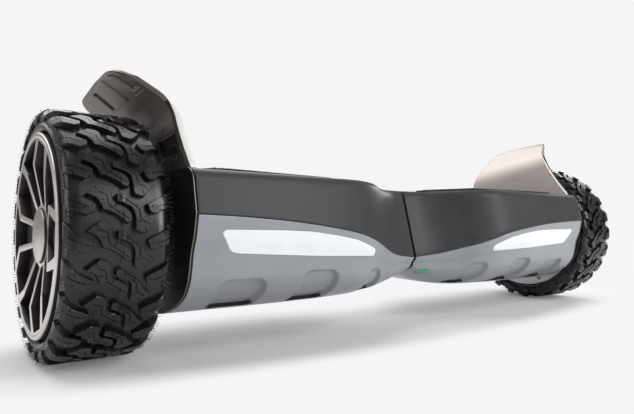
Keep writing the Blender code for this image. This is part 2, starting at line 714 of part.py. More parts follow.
def wheel(side, prefix, mats):
    """Everything that turns with one wheel."""
    at = (WHEEL_CENTRE_X, 0.0, AXLE_Z)
    tyre(prefix + "tyre", mats["tyre"], side)
    cover_back = COVER_PLANE_X - COVER_THICK
    disc_out = cover_back - FIT
    disc_in = disc_out - 0.004
    seat = BEARING_RADIUS + SLIDE_FIT
    boss = BEARING_RADIUS + 0.0055
    cup_start = MOTOR_COVER_X + MOTOR_COVER_THICK + FIT
    outer_seat = disc_out - BEARING_WIDTH - 0.0012
    hub = [(cup_start, RIM_RADIUS - RIM_WALL), (cup_start, RIM_RADIUS), (disc_out, RIM_RADIUS),
           (disc_out, seat), (outer_seat, seat), (outer_seat, boss), (disc_in, boss),
           (disc_in, RIM_RADIUS - RIM_WALL)]
    lathe(prefix + "hub_shell", hub, mats["hub"], side, 40)
    ring_out = RIM_RADIUS - RIM_WALL - SLIDE_FIT
    ring_in = ring_out - MAGNET_THICK
    a = WHEEL_CENTRE_X - STATOR_LENGTH / 2
    b = WHEEL_CENTRE_X + STATOR_LENGTH / 2
    lathe(prefix + "magnet_ring", [(a, ring_in), (a, ring_out), (b, ring_out), (b, ring_in)],
          mats["steel"], side, 40)
    face = MOTOR_COVER_X
    back = face + MOTOR_COVER_THICK
    deep = face + BEARING_WIDTH + 0.0006
    cover = [(face, seat), (face, RIM_RADIUS), (back, RIM_RADIUS), (back, boss), (deep, boss),
             (deep, seat)]
    plate = lathe(prefix + "motor_cover", cover, mats["disc"], side, 40)
    for number, angle in ((1, 250.0), (2, 70.0)):
        (y, z), = arc(RIM_RADIUS - COVER_SCREW_INSET, angle, angle, 1)
        hole = rod("hole", (face - 0.005, y, z), (back + 0.005, y, z), SCREW_RADIUS + SLIDE_FIT,
                   None, 12, side)
        combine(plate, hole)
        profile = [(face - 0.0017, 0.0), (face - 0.0017, SCREW_RADIUS + 0.0014),
                   (face - FIT, SCREW_RADIUS + 0.0020), (face - FIT, SCREW_RADIUS),
                   (back - 0.0004, SCREW_RADIUS), (back - 0.0004, 0.0)]
        lathe(prefix + "motor_cover_screw_%d" % number, profile, mats["screw"], side, 16,
              (face, y, z), (y, z))
    for number, start in ((1, face + 0.0003), (2, outer_seat + 0.0006)):
        end = start + BEARING_WIDTH
        ring = [(start, AXLE_RADIUS + SLIDE_FIT), (start, BEARING_RADIUS),
                (end, BEARING_RADIUS), (end, AXLE_RADIUS + SLIDE_FIT)]
        lathe(prefix + "wheel_bearing_%d" % number, ring, mats["steel"], side, 24)
    wheel_cover(prefix, mats["cover"], side)
    cap_face = COVER_PLANE_X - HUB_CAP_RECESS
    cap_back = cap_face - HUB_CAP_THICK
    cap = [(cap_back, 0.0), (cap_back, HUB_CAP_RADIUS), (cap_face - 0.0004, HUB_CAP_RADIUS),
           (cap_face, HUB_CAP_RADIUS - 0.0006), (cap_face, 0.0)]
    lathe(prefix + "hub_cap", cap, mats["cap"], side, 28, at)


def motor_core(side, prefix, mats):
    """Axle and stator, fixed to the body half."""
    outer_end = COVER_PLANE_X - COVER_THICK - FIT - 0.0014
    inner_end = BLOCK_START_X - 0.0010
    at = (WHEEL_CENTRE_X, 0.0, AXLE_Z)
    rod(prefix + "axle", (inner_end, 0.0, AXLE_Z), (outer_end, 0.0, AXLE_Z), AXLE_RADIUS,
        mats["steel"], 24, side, at)
    teeth = 12
    outline = []
    for i in range(teeth):
        start = 360.0 * i / teeth
        outline += arc(STATOR_RADIUS, start, start + 20.0, 2)
        outline += arc(STATOR_RADIUS - 0.018, start + 21.5, start + 28.5, 2)
    core = prism(prefix + "stator", [outline], "X", WHEEL_CENTRE_X - STATOR_LENGTH / 2,
                 WHEEL_CENTRE_X + STATOR_LENGTH / 2, mats["copper"], side, at)
    hole = rod("hole", (MOTOR_COVER_X, 0.0, AXLE_Z), (COVER_PLANE_X, 0.0, AXLE_Z),
               AXLE_RADIUS + SLIDE_FIT, None, 24, side)
    combine(core, hole)


def frame_parts(side, prefix, mats):
    """Cast frame, axle clamp and its two screws, motor cable."""
    block_start = BLOCK_START_X
    block_end = BLOCK_END_X
    leg_start = block_start + LEG_INSET
    leg_end = block_end - LEG_INSET
    split = AXLE_Z - STOP_GAP
    leg_base = BELLY_Z + WALL + FIT
    tube_top = AXLE_Z + 0.0240
    tube_end = TUBE_END_X + 0.0005
    outline = [(FRAME_START_X, PLATE_BASE_Z), (leg_start, PLATE_BASE_Z), (leg_start, leg_base),
               (leg_end, leg_base), (leg_end, PLATE_BASE_Z), (block_end, PLATE_BASE_Z),
               (block_end, split), (block_start, split), (block_start, PLATE_TOP_Z),
               (tube_end, PLATE_TOP_Z), (tube_end, tube_top), (FRAME_START_X, tube_top)]
    half = FRAME_HALF_WIDTH
    frame = prism(prefix + "chassis", [outline], "Y", -half, half, mats["cast"], side,
                  (0.15, 0.0, PLATE_BASE_Z))
    bore = TUBE_RADIUS + SLIDE_FIT
    if side > 0:
        bore = TUBE_RADIUS + BUSH_THICK + 2 * SLIDE_FIT
    hole = rod("hole", (-0.01, 0.0, AXLE_Z), (tube_end + 0.001, 0.0, AXLE_Z), bore, None, 28, side)
    combine(frame, hole)
    seat = rod("seat", (block_start - 0.001, 0.0, AXLE_Z), (block_end + 0.001, 0.0, AXLE_Z),
               AXLE_RADIUS + SLIDE_FIT, None, 24, side)
    combine(frame, seat)
    clamp_top = AXLE_Z + CLAMP_HEIGHT
    clamp_x = (block_start + 0.002, block_end - 0.002)
    clamp = box(prefix + "axle_clamp", clamp_x, (-0.020, 0.020), (AXLE_Z + STOP_GAP, clamp_top),
                mats["cast"], side)
    seat = rod("seat", (block_start - 0.001, 0.0, AXLE_Z), (block_end + 0.001, 0.0, AXLE_Z),
               AXLE_RADIUS + SLIDE_FIT, None, 24, side)
    combine(clamp, seat)
    x = (block_start + block_end) / 2
    for number, y in ((1, -0.0145), (2, 0.0145)):
        hole = rod("hole", (x, y, AXLE_Z - 0.001), (x, y, clamp_top + 0.001),
                   CLAMP_SCREW_RADIUS + SLIDE_FIT, None, 12, side)
        combine(clamp, hole)
        head = CLAMP_SCREW_RADIUS * 1.8
        rings = []
        for radius, z in ((CLAMP_SCREW_RADIUS, AXLE_Z + 0.0006),
                          (CLAMP_SCREW_RADIUS, clamp_top + SLIDE_FIT),
                          (head, clamp_top + SLIDE_FIT), (head, clamp_top + 0.0030),
                          (head - 0.0006, clamp_top + 0.0036)):
            rings.append([(x + a, y + b, z) for a, b in ring_points(radius, 12)])
        stack(prefix + "clamp_screw_%d" % number, rings, mats["screw"], side, (x, y, clamp_top))
    gland = block_start - 0.0010 - FIT
    path = [(gland, 0.0, AXLE_Z), (gland - 0.0137, 0.0, AXLE_Z),
            (gland - 0.0247, 0.0, AXLE_Z - 0.003), (gland - 0.0317, 0.0, AXLE_Z - 0.009),
            (gland - 0.0337, 0.0, PLATE_TOP_Z + FIT)]
    aims = [(-1, 0), (-1, 0), (-0.85, -0.5), (-0.5, -0.85), (0, -1)]
    rings = []
    for (px, py, pz), (dx, dz) in zip(path, aims):
        length = math.hypot(dx, dz)
        ring = []
        for a, b in ring_points(CABLE_RADIUS, 10):
            ring.append((px + b * dz / length, py + a, pz - b * dx / length))
        rings.append(ring)
    stack(prefix + "motor_cable", rings, mats["rubber"], side, path[0])


def pad_half(x):
    """Half width of the foot pad at a distance from the board's middle."""
    share = (x - PAD_INNER_X) / (PAD_OUTER_X - PAD_INNER_X)
    return PAD_HALF_INNER + (PAD_HALF_OUTER - PAD_HALF_INNER) * share


def covers(side, prefix, mats):
    """Upper and lower cover, light window, foot pad and its switch board."""
    start = BODY_START_X
    end = BODY_END_X
    shares = np.array((0.0, 0.06, 0.12, 0.17, 0.22, 0.27, 0.32, 0.38, 0.44, 0.54, 0.75, 1.0))
    upper_x = start + (end - start) * shares
    upper = shell(prefix + "upper_cover", upper_line, upper_x, mats["upper"], side,
                  (0.0, 0.0, AXLE_Z))
    first = DISH_CENTRES[0] - DISH_HALF_WIDTHS[0] - DISH_SLOPE / 2
    last = DISH_CENTRES[-1] + DISH_HALF_WIDTHS[-1] + DISH_SLOPE / 2
    lower_x = np.concatenate((start + (first - start) * np.linspace(0, 1, 6)[:-1],
                              np.linspace(first, last, 18), (end,)))
    lower = shell(prefix + "lower_cover", lower_line, lower_x, mats["lower"], side,
                  (0.0, 0.0, AXLE_Z))
    notch_radius = TUBE_RADIUS + 0.0015
    hole = rod("hole", (-0.001, 0.0, AXLE_Z), (0.0045, 0.0, AXLE_Z), notch_radius, None, 24, side)
    combine(upper, hole)
    slot = box("slot", (-0.001, 0.0045), (-notch_radius, notch_radius),
               (AXLE_Z - 0.040, AXLE_Z), None, side)
    combine(upper, slot)
    axle_hole = AXLE_RADIUS + 0.003
    hole = rod("hole", (end - 0.006, 0.0, AXLE_Z), (end + 0.01, 0.0, AXLE_Z), axle_hole,
               None, 24, side)
    combine(lower, hole)
    slot = box("slot", (end - 0.006, end + 0.01), (-axle_hole, axle_hole),
               (AXLE_Z, AXLE_Z + 0.030), None, side)
    combine(lower, slot)
    window = prism("window", [WINDOW], "Y", -0.120, -0.060, None, side)
    combine(lower, window)
    lens_low = min(x for x, z in WINDOW) - 0.0090
    lens_high = max(x for x, z in WINDOW) + 0.0100
    lens = wall_patch(prefix + "headlight_lens", lens_low, lens_high, 12, (0, 7), mats["lens"],
                      side, ((lens_low + lens_high) / 2, -0.09, 0.095))
    window = prism("window", [shrink(WINDOW, FIT)], "Y", -0.120, -0.060, None, side)
    combine(lens, window, "INTERSECT")
    inner = PAD_INNER_X + PAD_BOSS_INSET
    outer = PAD_OUTER_X - PAD_BOSS_INSET
    gap = FIT + 0.0002
    near = pad_half(inner - gap) - PAD_BOSS_INSET + gap
    far = pad_half(outer + gap) - PAD_BOSS_INSET + gap
    outline = [(inner - gap, -near), (outer + gap, -far), (outer + gap, far),
               (inner - gap, near)]
    opening = prism("opening", [outline], "Z", DECK_Z - 0.006, DECK_Z + 0.004, None, side)
    combine(upper, opening)
    board_top = DECK_Z - WALL - FIT
    box(prefix + "foot_switch", (inner - 0.006, outer + 0.006), (-far - 0.004, far + 0.004),
        (board_top - 0.0018, board_top), mats["board"], side)
    boss_base = board_top + PAD_TRAVEL + 0.0001
    pad_top = PAD_BASE_Z + PAD_THICK
    corner = 0.010

    def pad_ring(inset_by, z):
        a = PAD_INNER_X + inset_by
        b = PAD_OUTER_X - inset_by
        cut = max(corner - inset_by * 0.4, 0.003)
        c = pad_half(a + cut) - inset_by
        d = pad_half(b - cut) - inset_by
        return [(a, -c + cut, z), (a + cut * 0.3, -c + cut * 0.3, z), (a + cut, -c, z),
                (b - cut, -d, z), (b - cut * 0.3, -d + cut * 0.3, z), (b, -d + cut, z),
                (b, d - cut, z), (b - cut * 0.3, d - cut * 0.3, z), (b - cut, d, z),
                (a + cut, c, z), (a + cut * 0.3, c - cut * 0.3, z), (a, c - cut, z)]

    rings = [pad_ring(PAD_BOSS_INSET, boss_base), pad_ring(PAD_BOSS_INSET, PAD_BASE_Z),
             pad_ring(0.0, PAD_BASE_Z), pad_ring(0.0, pad_top - 0.0008),
             pad_ring(0.0012, pad_top)]
    stack(prefix + "foot_pad", rings, mats["pad"], side,
          ((PAD_INNER_X + PAD_OUTER_X) / 2, 0.0, PAD_BASE_Z))
    return lower


def main():
    for obj in list(bpy.data.objects):
        bpy.data.objects.remove(obj, do_unlink=True)
    finishes = {
        "upper": ("upper_cover", (0.075, 0.073, 0.075), 0.0, 0.45),
        "lower": ("lower_cover", (0.300, 0.315, 0.340), 0.0, 0.40),
        "lens": ("headlight_lens", (0.900, 0.930, 0.960), 0.0, 0.25),
        "skin": ("fender_skin", (0.420, 0.370, 0.350), 0.9, 0.35),
        "liner": ("fender_liner", (0.045, 0.040, 0.038), 0.0, 0.50),
        "tyre": ("tyre", (0.030, 0.030, 0.032), 0.0, 0.60),
        "hub": ("hub_shell", (0.060, 0.058, 0.060), 0.8, 0.45),
        "disc": ("motor_cover", (0.650, 0.640, 0.630), 0.9, 0.35),
        "cover": ("wheel_cover", (0.420, 0.390, 0.385), 0.9, 0.35),
        "cap": ("hub_cap", (0.380, 0.350, 0.345), 0.9, 0.35),
        "steel": ("steel", (0.520, 0.520, 0.530), 1.0, 0.35),
        "copper": ("stator", (0.450, 0.200, 0.090), 0.9, 0.40),
        "cast": ("chassis", (0.450, 0.450, 0.460), 0.9, 0.50),
        "screw": ("screw", (0.250, 0.250, 0.260), 1.0, 0.35),
        "rubber": ("cable", (0.025, 0.025, 0.027), 0.0, 0.60),
        "pad": ("foot_pad", (0.030, 0.030, 0.031), 0.0, 0.75),
        "board": ("circuit_board", (0.020, 0.130, 0.050), 0.0, 0.50),
        "battery": ("battery_wrap", (0.040, 0.110, 0.300), 0.0, 0.45),
        "bush": ("bush", (0.550, 0.420, 0.160), 0.6, 0.45),
        "light": ("status_light", (0.050, 0.450, 0.180), 0.0, 0.30),
        "button": ("power_button", (0.350, 0.355, 0.365), 0.8, 0.35),
        "port": ("charge_port", (0.030, 0.030, 0.031), 0.0, 0.45),
    }

    mats = {}
    for key, (name, colour, metallic, roughness) in finishes.items():
        mats[key] = material(name, colour, metallic, roughness)
    for side, prefix in ((-1, "left_"), (1, "right_")):
        lower = covers(side, prefix, mats)
        fender(side, prefix, mats)
        frame_parts(side, prefix, mats)
        motor_core(side, prefix, mats)
        wheel(side, prefix, mats)
        if side > 0:
            right_fittings(lower, mats)
    left_electrics(mats)
    centre_parts(mats)
    for obj in bpy.data.objects:
        smooth_by_angle(obj)
    own_materials()


def left_electrics(mats):
    """Heat sink under the left plate and the control board below it."""
    length, width, thick = BOARD_SIZE
    top = PLATE_BASE_Z - FIT
    low = top - SINK_HEIGHT
    root = top - SINK_BASE
    pitch = (width - FIN_WIDTH) / (SINK_FINS - 1)
    outline = [(-width / 2, top)]
    for i in range(SINK_FINS):
        y = -width / 2 + i * pitch
        if i:
            outline.append((y, root))
        outline += [(y, low), (y + FIN_WIDTH, low)]
        if i < SINK_FINS - 1:
            outline.append((y + FIN_WIDTH, root))
    outline.append((width / 2, top))
    start = ELECTRICS_START_X
    prism("heat_sink", [outline], "X", start, start + length, mats["cast"], -1,
          (start + length / 2, 0.0, top))
    board_top = low - SLIDE_FIT
    box("control_board", (start, start + length), (-width / 2, width / 2),
        (board_top - thick, board_top), mats["board"], -1)


def centre_parts(mats):
    """Pivot tube with its collar on the left half and its bush in the right one."""
    tube_left = -TUBE_END_X
    collar = TUBE_END_X + 0.0005 + FIT
    tube_right = collar + COLLAR_WIDTH + 0.001
    centre = (0.0, 0.0, AXLE_Z)
    tube = [(tube_left, TUBE_BORE), (tube_left, TUBE_RADIUS), (tube_right, TUBE_RADIUS),
            (tube_right, TUBE_BORE)]
    lathe("pivot_tube", tube, mats["steel"], 1, 28, centre)
    inner = TUBE_RADIUS + SLIDE_FIT
    outer = TUBE_RADIUS + BUSH_THICK + SLIDE_FIT
    bush = [(0.0062, inner), (0.0062, outer), (TUBE_END_X, outer), (TUBE_END_X, inner)]
    lathe("pivot_bush", bush, mats["bush"], 1, 28, centre)
    ring = [(collar, inner), (collar, COLLAR_RADIUS), (collar + COLLAR_WIDTH, COLLAR_RADIUS),
            (collar + COLLAR_WIDTH, inner)]
    lathe("pivot_collar", ring, mats["steel"], 1, 28, centre)


def right_fittings(lower, mats):
    """Status light, power button, charge port and battery of the right half."""
    light_x = LIGHT_PLACE[0]
    light_z = AXLE_Z + LIGHT_PLACE[1]
    outline = [(light_x + a * LIGHT_SIZE[0], light_z + b * LIGHT_SIZE[1])
               for a, b in ring_points(1.0, 16)]
    front = -side_depth(light_x, light_z)
    cutter = prism("light", [outline], "Y", front - 0.020, front + 0.020)
    combine(lower, cutter)
    reach = LIGHT_SIZE[0] + 0.0040
    light = wall_patch("status_light", light_x - reach, light_x + reach, 5, (2, 9),
                       mats["light"], 1, (light_x, front, light_z))
    cutter = prism("light", [shrink(outline, FIT)], "Y", front - 0.020, front + 0.020)
    combine(light, cutter, "INTERSECT")
    for place, radius, name in ((BUTTON_PLACE, BUTTON_RADIUS, "button_housing"),
                                (PORT_PLACE, PORT_RADIUS, "charge_port")):
        x = place[0]
        z = AXLE_Z + place[1]
        face = side_depth(x, z)
        outer = radius + FIT + CUP_WALL
        deep = face - CUP_DEPTH
        floor = deep + CUP_FLOOR
        lip = face + CUP_PROUD
        at = (x, face, z)
        hole = lathe("hole", [(deep - 0.004, 0.0), (deep - 0.004, outer + FIT),
                              (lip + 0.004, outer + FIT), (lip + 0.004, 0.0)], None, 1, 20,
                     at, (x, z), "Y")
        combine(lower, hole)
        cup = [(deep, 0.0), (deep, outer), (lip - 0.0005, outer), (lip, outer - 0.0005),
               (lip, radius + FIT), (floor, radius + FIT), (floor, 0.0)]
        lathe(name, cup, mats["port"], 1, 20, at, (x, z), "Y")
        if name == "button_housing":
            back = floor + BUTTON_TRAVEL + STOP_GAP
            knob = [(back, 0.0), (back, radius), (lip + 0.0006, radius),
                    (lip + 0.0012, radius - 0.0008), (lip + 0.0012, 0.0)]
            lathe("power_button", knob, mats["button"], 1, 20, at, (x, z), "Y")
        else:
            base = lip + FIT
            cap = [(base, 0.0), (base, outer), (base + 0.0016, outer),
                   (base + 0.0022, outer - 0.0008), (base + 0.0022, 0.0)]
            pivot = (x - outer, base + 0.0011, z)
            lathe("charge_port_cap", cap, mats["rubber"], 1, 20, pivot, (x, z), "Y")
    length, width, height = BATTERY_SIZE
    top = PLATE_BASE_Z - FIT
    start = ELECTRICS_START_X
    box("battery_pack", (start, start + length), (-width / 2, width / 2),
        (top - height, top), mats["battery"], 1)


def own_materials():
    """Gives every node its own material slot, named after the node."""
    for obj in bpy.data.objects:
        source = obj.data.materials[0]
        own = source.copy()
        own.name = obj.name + "_finish"
        obj.data.materials.clear()
        obj.data.materials.append(own)
        obj.data.name = obj.name


main()
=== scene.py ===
import math
from functools import lru_cache

import bpy
from mathutils import Matrix, Vector


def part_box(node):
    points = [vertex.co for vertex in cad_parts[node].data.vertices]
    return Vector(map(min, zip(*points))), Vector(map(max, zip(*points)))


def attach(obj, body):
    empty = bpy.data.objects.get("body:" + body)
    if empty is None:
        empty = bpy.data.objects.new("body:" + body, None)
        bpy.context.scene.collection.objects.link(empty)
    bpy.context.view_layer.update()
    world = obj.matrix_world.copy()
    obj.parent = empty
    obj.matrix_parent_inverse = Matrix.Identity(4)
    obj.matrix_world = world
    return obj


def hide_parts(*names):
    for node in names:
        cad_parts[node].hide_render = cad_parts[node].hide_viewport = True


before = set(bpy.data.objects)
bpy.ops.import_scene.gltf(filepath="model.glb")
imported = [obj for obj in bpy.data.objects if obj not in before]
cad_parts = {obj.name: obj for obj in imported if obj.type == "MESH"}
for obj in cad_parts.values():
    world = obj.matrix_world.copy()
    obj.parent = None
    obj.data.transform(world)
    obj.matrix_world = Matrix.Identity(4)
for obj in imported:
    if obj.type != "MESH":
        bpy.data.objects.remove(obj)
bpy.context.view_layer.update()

# The wheels, in metres
WHEEL_X = 0.3407
AXLE_Z = 0.100
TYRE_RADIUS = 0.100
RIM_RADIUS = 0.0808
CROWN_HALF = 0.0270
SHOULDER_WIDTH = 0.0096
SHOULDER_HEIGHT = 0.0090
TYRE_BORE = 0.0809
PITCHES = 24
PITCH = 2 * math.pi * TYRE_RADIUS / PITCHES
FIRST_PITCH = math.radians(166.9)
GROOVE_DEPTH = 0.0044
SIDE_GROOVE_DEPTH = 0.0022
GROOVE_FADE = (0.030, 0.042)
BLOCK_ROOT = 0.0060
BLOCK_FOOT = 0.0001
BLOCK_DRAFT = 0.0005
CHAMFER_WIDTH = 0.00035
CHAMFER_HEIGHT = 0.0004
SIPE_WIDTH = 0.0006
SIPE_DEPTH = 0.0026
SIPE_CUTTER_TOP = 0.0034
BLOCK_SLICES = 6
LINE_HEIGHT = 0.00015
COVER_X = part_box("right_wheel_cover")[1].x
COVER_BACK_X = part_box("right_wheel_cover")[0].x
MOTOR_COVER_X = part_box("right_motor_cover")[0].x
HUB_FACE_DROP = 0.0058
HUB_RADIUS = 0.0243
HUB_BORE = 0.0218
CAP_RADIUS = 0.0215
SHAFT_BORE = 0.01615
MOTOR_SCREW_RADIUS = 0.00175
MOTOR_SCREW_INSET = 0.0088
MOTOR_SCREW_DEGREES = (250.0, 70.0)
KINK_INSET = 0.0248
SPOKE_PAIRS = 5
OUTER_RING = 0.0058
# The pockets narrow towards the back, about a middle at this radius
POCKET_MIDDLE = 0.052
POCKET_DRAFT = 0.95
# Middle line of a spoke: inset from the rim, degrees from its pair's middle, half width
SPOKE_LINE = ((0.0590, 16.4, 0.0018), (KINK_INSET, 22.0, 0.0028), (0.0008, 9.5, 0.0036))

# Outlines of the tread blocks in millimetres: across from the outer side, and round the tyre
OUTER_LUG = (
    (-43.5, -17.6), (-38.0, -15.4), (-28.3, -8.0), (-17.0, -2.2), (-17.7, 3.0), (-23.3, 5.7),
    (-32.0, 2.7), (-38.5, -0.8), (-42.2, -4.6), (-43.5, -8.0))
INNER_LUG = (
    (17.0, -3.5), (18.4, 1.5), (19.9, 3.3), (22.2, 4.2), (25.7, 3.5), (28.7, 1.5), (34.0, -0.2),
    (42.2, -3.4), (43.5, -6.5), (43.5, -16.4), (36.0, -13.2), (29.7, -10.0), (21.7, -6.5))
OUTER_BLOCK = (
    (-24.3, -9.7), (-14.8, -17.5), (-9.3, -16.0), (-6.6, -13.4), (-6.3, -6.0), (-3.8, -3.0),
    (0.4, -1.3), (4.6, 1.5), (6.2, 4.5), (6.8, 8.2), (5.6, 10.6), (3.0, 11.0), (-3.3, 5.7),
    (-9.3, 2.6), (-13.3, 2.0), (-14.6, -2.0), (-17.5, -6.4))
INNER_BLOCK = (
    (-3.8, -10.5), (0.2, -10.7), (5.7, -5.8), (12.2, -1.6), (14.7, 1.5), (17.2, 5.5), (19.7, 8.0),
    (22.9, 10.0), (16.2, 17.5), (13.7, 17.8), (9.2, 16.3), (8.2, 14.6), (8.1, 6.0), (7.4, 2.0),
    (5.6, -0.6), (0.6, -3.1), (-3.8, -4.6))
OUTER_LUG_SIPES = (((-36.0, -5.8), (-28.3, -2.3), (-21.8, 0.2)), ((-20.4, -1.5), (-19.8, 0.3)))
INNER_LUG_SIPES = (((36.0, -6.2), (31.7, -3.7), (23.2, -0.8)), ((21.2, -2.1), (20.4, -0.7)))
OUTER_BLOCK_SIPES = (
    ((-16.3, -11.5), (-14.3, -10.3), (-11.5, -9.5), (-10.3, -8.0), (-9.8, -3.5), (-8.9, -1.2),
    (0.2, 5.2), (4.4, 7.8)),)
INNER_BLOCK_SIPES = (
    ((0.2, -7.6), (9.7, -0.5), (11.4, 1.0), (11.9, 6.5), (13.2, 8.5), (17.2, 10.5), (18.2, 11.7)),)
# Short cross cuts on the same four blocks
OUTER_LUG_TICKS = (
    ((-30.5, -10.0), (-30.0, -6.2)), ((-31.0, -0.6), (-30.6, 3.6)), ((-20.6, 3.0), (-20.0, 6.0)))
INNER_LUG_TICKS = (((29.0, -10.4), (28.8, -6.4)), ((27.4, 0.4), (27.6, 3.4)))
OUTER_BLOCK_TICKS = (
    ((-18.0, -15.2), (-16.6, -12.6)), ((-12.0, -5.4), (-14.8, -5.4)), ((-4.4, -3.6), (-5.4, 0.0)),
    ((0.6, 3.4), (0.0, 8.2)))
INNER_BLOCK_TICKS = (
    ((3.6, -8.4), (2.4, -4.0)), ((10.0, -3.6), (8.6, -0.8)), ((8.2, 9.8), (12.2, 9.2)),
    ((14.6, 12.8), (16.2, 17.8)))
TICK_WIDTH = 0.0005
# Vent hairs of one pitch: across, round the tyre, length, in millimetres
VENT_HAIRS = (
    (-33.0, -6.5, 1.9), (-37.8, -12.0, 1.6), (-38.4, -5.0, 1.4), (-38.4, 1.0, 1.3),
    (-37.8, 7.0, 1.6), (33.0, -5.0, 1.9), (36.5, -12.0, 2.6), (37.5, -6.0, 2.8), (37.5, 0.5, 2.4),
    (36.5, 7.0, 2.6), (-38.2, -8.5, 1.3), (-38.4, -2.0, 1.4), (-38.2, 4.0, 1.3),
    (-37.8, 10.2, 1.6), (37.0, -9.0, 2.6), (37.4, -2.8, 2.6), (37.2, 3.8, 2.6), (36.6, 10.2, 2.6))
HAIR_RADII = (0.00028, 0.00018)
HAIR_ROOT = 0.0030
HAIR_LEAN = 0.7

# The body, in metres
BODY_START_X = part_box("right_upper_cover")[0].x
BODY_END_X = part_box("right_upper_cover")[1].x
SHELL_END_X = BODY_END_X + 0.0018
WALL = 0.0025
WAIST_HALF_DEPTH = 0.0550
END_HALF_DEPTH = 0.1000
WAIST_TOP_HALF = 0.0340
END_TOP_HALF = 0.0915
SEAM_GAP = 0.0006
SEAM_CHAMFER = 0.0006
UPPER_CORNER = 0.0100
WAIST_TOP_Z = 0.1500
DECK_Z = 0.1545
WAIST_SEAM_Z = 0.0750
END_SEAM_Z = 0.1190
WAIST_BELLY_Z = 0.0570
BELLY_Z = 0.0350
DISH_DEPTH = 0.0042
DISH_CENTRES = (0.0850, 0.1605, 0.2388)
DISH_HALF_WIDTHS = (0.0145, 0.0215, 0.0233)
DISH_TOPS = (0.0680, 0.0714, 0.0672)
DISH_LEANS = (0.0100, 0.0080, 0.0060)
DISH_CORNER = 0.0110
DISH_SLOPE = 0.0032
DISH_END = 0.7925
# Width of the pale painted reflection beside each dish's end
PAINTED_REFLECTION_WIDTH = 0.0045
OUTER_ROUND = 0.0010
CENTRE_ROUND = 0.0014
TUBE_CLEARANCE = 0.0185
AXLE_CLEARANCE = 0.0110
FIT = 0.0003

# Shape lines of the body between the waist (0) and the outer end (1)
STATIONS = (0.0, 0.07, 0.14, 0.21, 0.28, 0.35, 0.42, 0.53, 0.70, 0.88, 1.0)
DEPTH_LINE = (0.0, 0.07, 0.20, 0.42, 0.69, 0.88, 0.96, 1.0, 1.005, 1.005, 1.0)
SEAM_LINE = (0.0, 0.045, 0.11, 0.23, 0.36, 0.51, 0.64, 0.76, 0.89, 0.97, 1.0)
TOP_LINE = (0.0, 0.05, 0.21, 0.45, 0.71, 0.87, 0.94, 0.97, 1.0, 1.0, 1.0)
DECK_LINE = (0.0, 0.0, 0.10, 0.35, 0.70, 0.92, 1.0, 1.0, 1.0, 1.0, 1.0)
BELLY_LINE = (0.0, 0.36, 0.64, 0.80, 0.89, 0.93, 0.955, 0.98, 1.0, 1.0, 1.0)
# Belly outline: share of the half depth, share of the seam height
BELLY = (
    (1.0, 1.0), (0.97, 0.81), (0.925, 0.66), (0.905, 0.52), (0.875, 0.38), (0.79, 0.235),
    (0.64, 0.12), (0.46, 0.04), (0.30, 0.0), (0.0, 0.0))
BELLY_KNOTS = tuple(i / (len(BELLY) - 1) for i in range(len(BELLY)))
# Light window outline: x from the centre, z
WINDOW = (
    (0.2650, 0.1050), (0.2615, 0.1077), (0.2080, 0.1071), (0.1800, 0.1060), (0.1500, 0.1024),
    (0.1250, 0.0981), (0.1060, 0.0921), (0.0978, 0.0888), (0.0960, 0.0860), (0.0968, 0.0812),
    (0.1650, 0.0834), (0.2070, 0.0856), (0.2480, 0.0879), (0.2545, 0.0896))
LIGHT_PLACE = (0.0200, 0.0575)
LIGHT_SIZE = (0.0080, 0.0026)
LIGHT_NEAR = 0.020
SCREW_PLACE = (0.0714, 0.0600)
SCREW_HOLE = 0.0011
WINDOW_CORNER = 0.0030

# The fenders
SKIN_THICK = 0.0052
ROOF_SKIN_THICK = 0.0024
LINER_THICK = 0.0032
ROOF_LINER_THICK = 0.0024
FENDER_X = BODY_END_X + FIT
FENDER_BASE_HALF = 0.0830
FENDER_REACH = 0.0400
FENDER_BEND_RADIUS = 0.0160
FENDER_CORNER = 0.0105
FENDER_BEND_FRONT = (-0.0400, 0.2065)
FENDER_BEND_BACK = (0.0740, 0.1835)
FENDER_TIP_FRONT = (-0.0200, 0.2352)
FENDER_TIP_BACK = (0.0740, 0.2145)
FENDER_EXTRA = 1.18
# Above the ceiling the roof rises only by a share of its height
FENDER_CEILING = 0.2310
FENDER_SQUASH = 0.50
# Relief of the liner: height, from and to across the sheet, from and to up the sheet,
# soft borders of both, slant of the upper end
LINER_PADS = (
    (0.0010, 0.33, 0.90, 2.27, 2.93, 0.012, 0.04, 0.0),
    (0.0009, 0.020, 0.20, 2.22, 2.95, 0.014, 0.04, 0.0))
LINER_POCKETS = (
    (0.0018, 0.050, 0.165, 2.31, 2.86, 0.014, 0.05, 0.5),
    (0.0018, 0.575, 0.645, 2.34, 2.88, 0.014, 0.05, 0.0),
    (0.0022, 0.02, 0.30, 0.30, 0.78, 0.012, 0.04, 0.0),
    (0.0022, 0.40, 0.78, 0.30, 0.78, 0.012, 0.04, 0.0))
LINER_RIM = 0.0200
# The liner's finishes: its own colour, black painted shade, and a darker painted shade for the
# lower wall
LINER_FINISHES = ("liner_plastic", "painted_shade_black", "liner_painted_shade")

# Foot pads
PAD_INNER_X = 0.1100
PAD_OUTER_X = 0.2640
PAD_HALF_INNER = 0.0560
PAD_HALF_OUTER = 0.0760
PAD_BOSS_INSET = 0.0170
PAD_CORNER = 0.026
PAD_LIFT = 0.0015
RIB_INSET = 0.012
RIB_HALF = 0.0016
RIB_STEP = 0.0062
FITTING_BORE = 0.0083

MM = 0.001

# Finishes by their names
MATS = {}


def mix(a, b, share):
    return a + (b - a) * share


def bend(a, b, c, t):
    """Point of the curve that leaves a, turns at b and reaches c."""
    return a * (1 - t) ** 2 + b * 2 * t * (1 - t) + c * t * t


def rise(value, low, high):
    """0 up to low, 1 from high, straight between."""
    return min(max((value - low) / (high - low), 0.0), 1.0)


def step_up(value, low, high):
    """0 up to low, 1 from high, with a smooth rise between."""
    k = rise(value, low, high)
    return k * k * (3 - 2 * k)


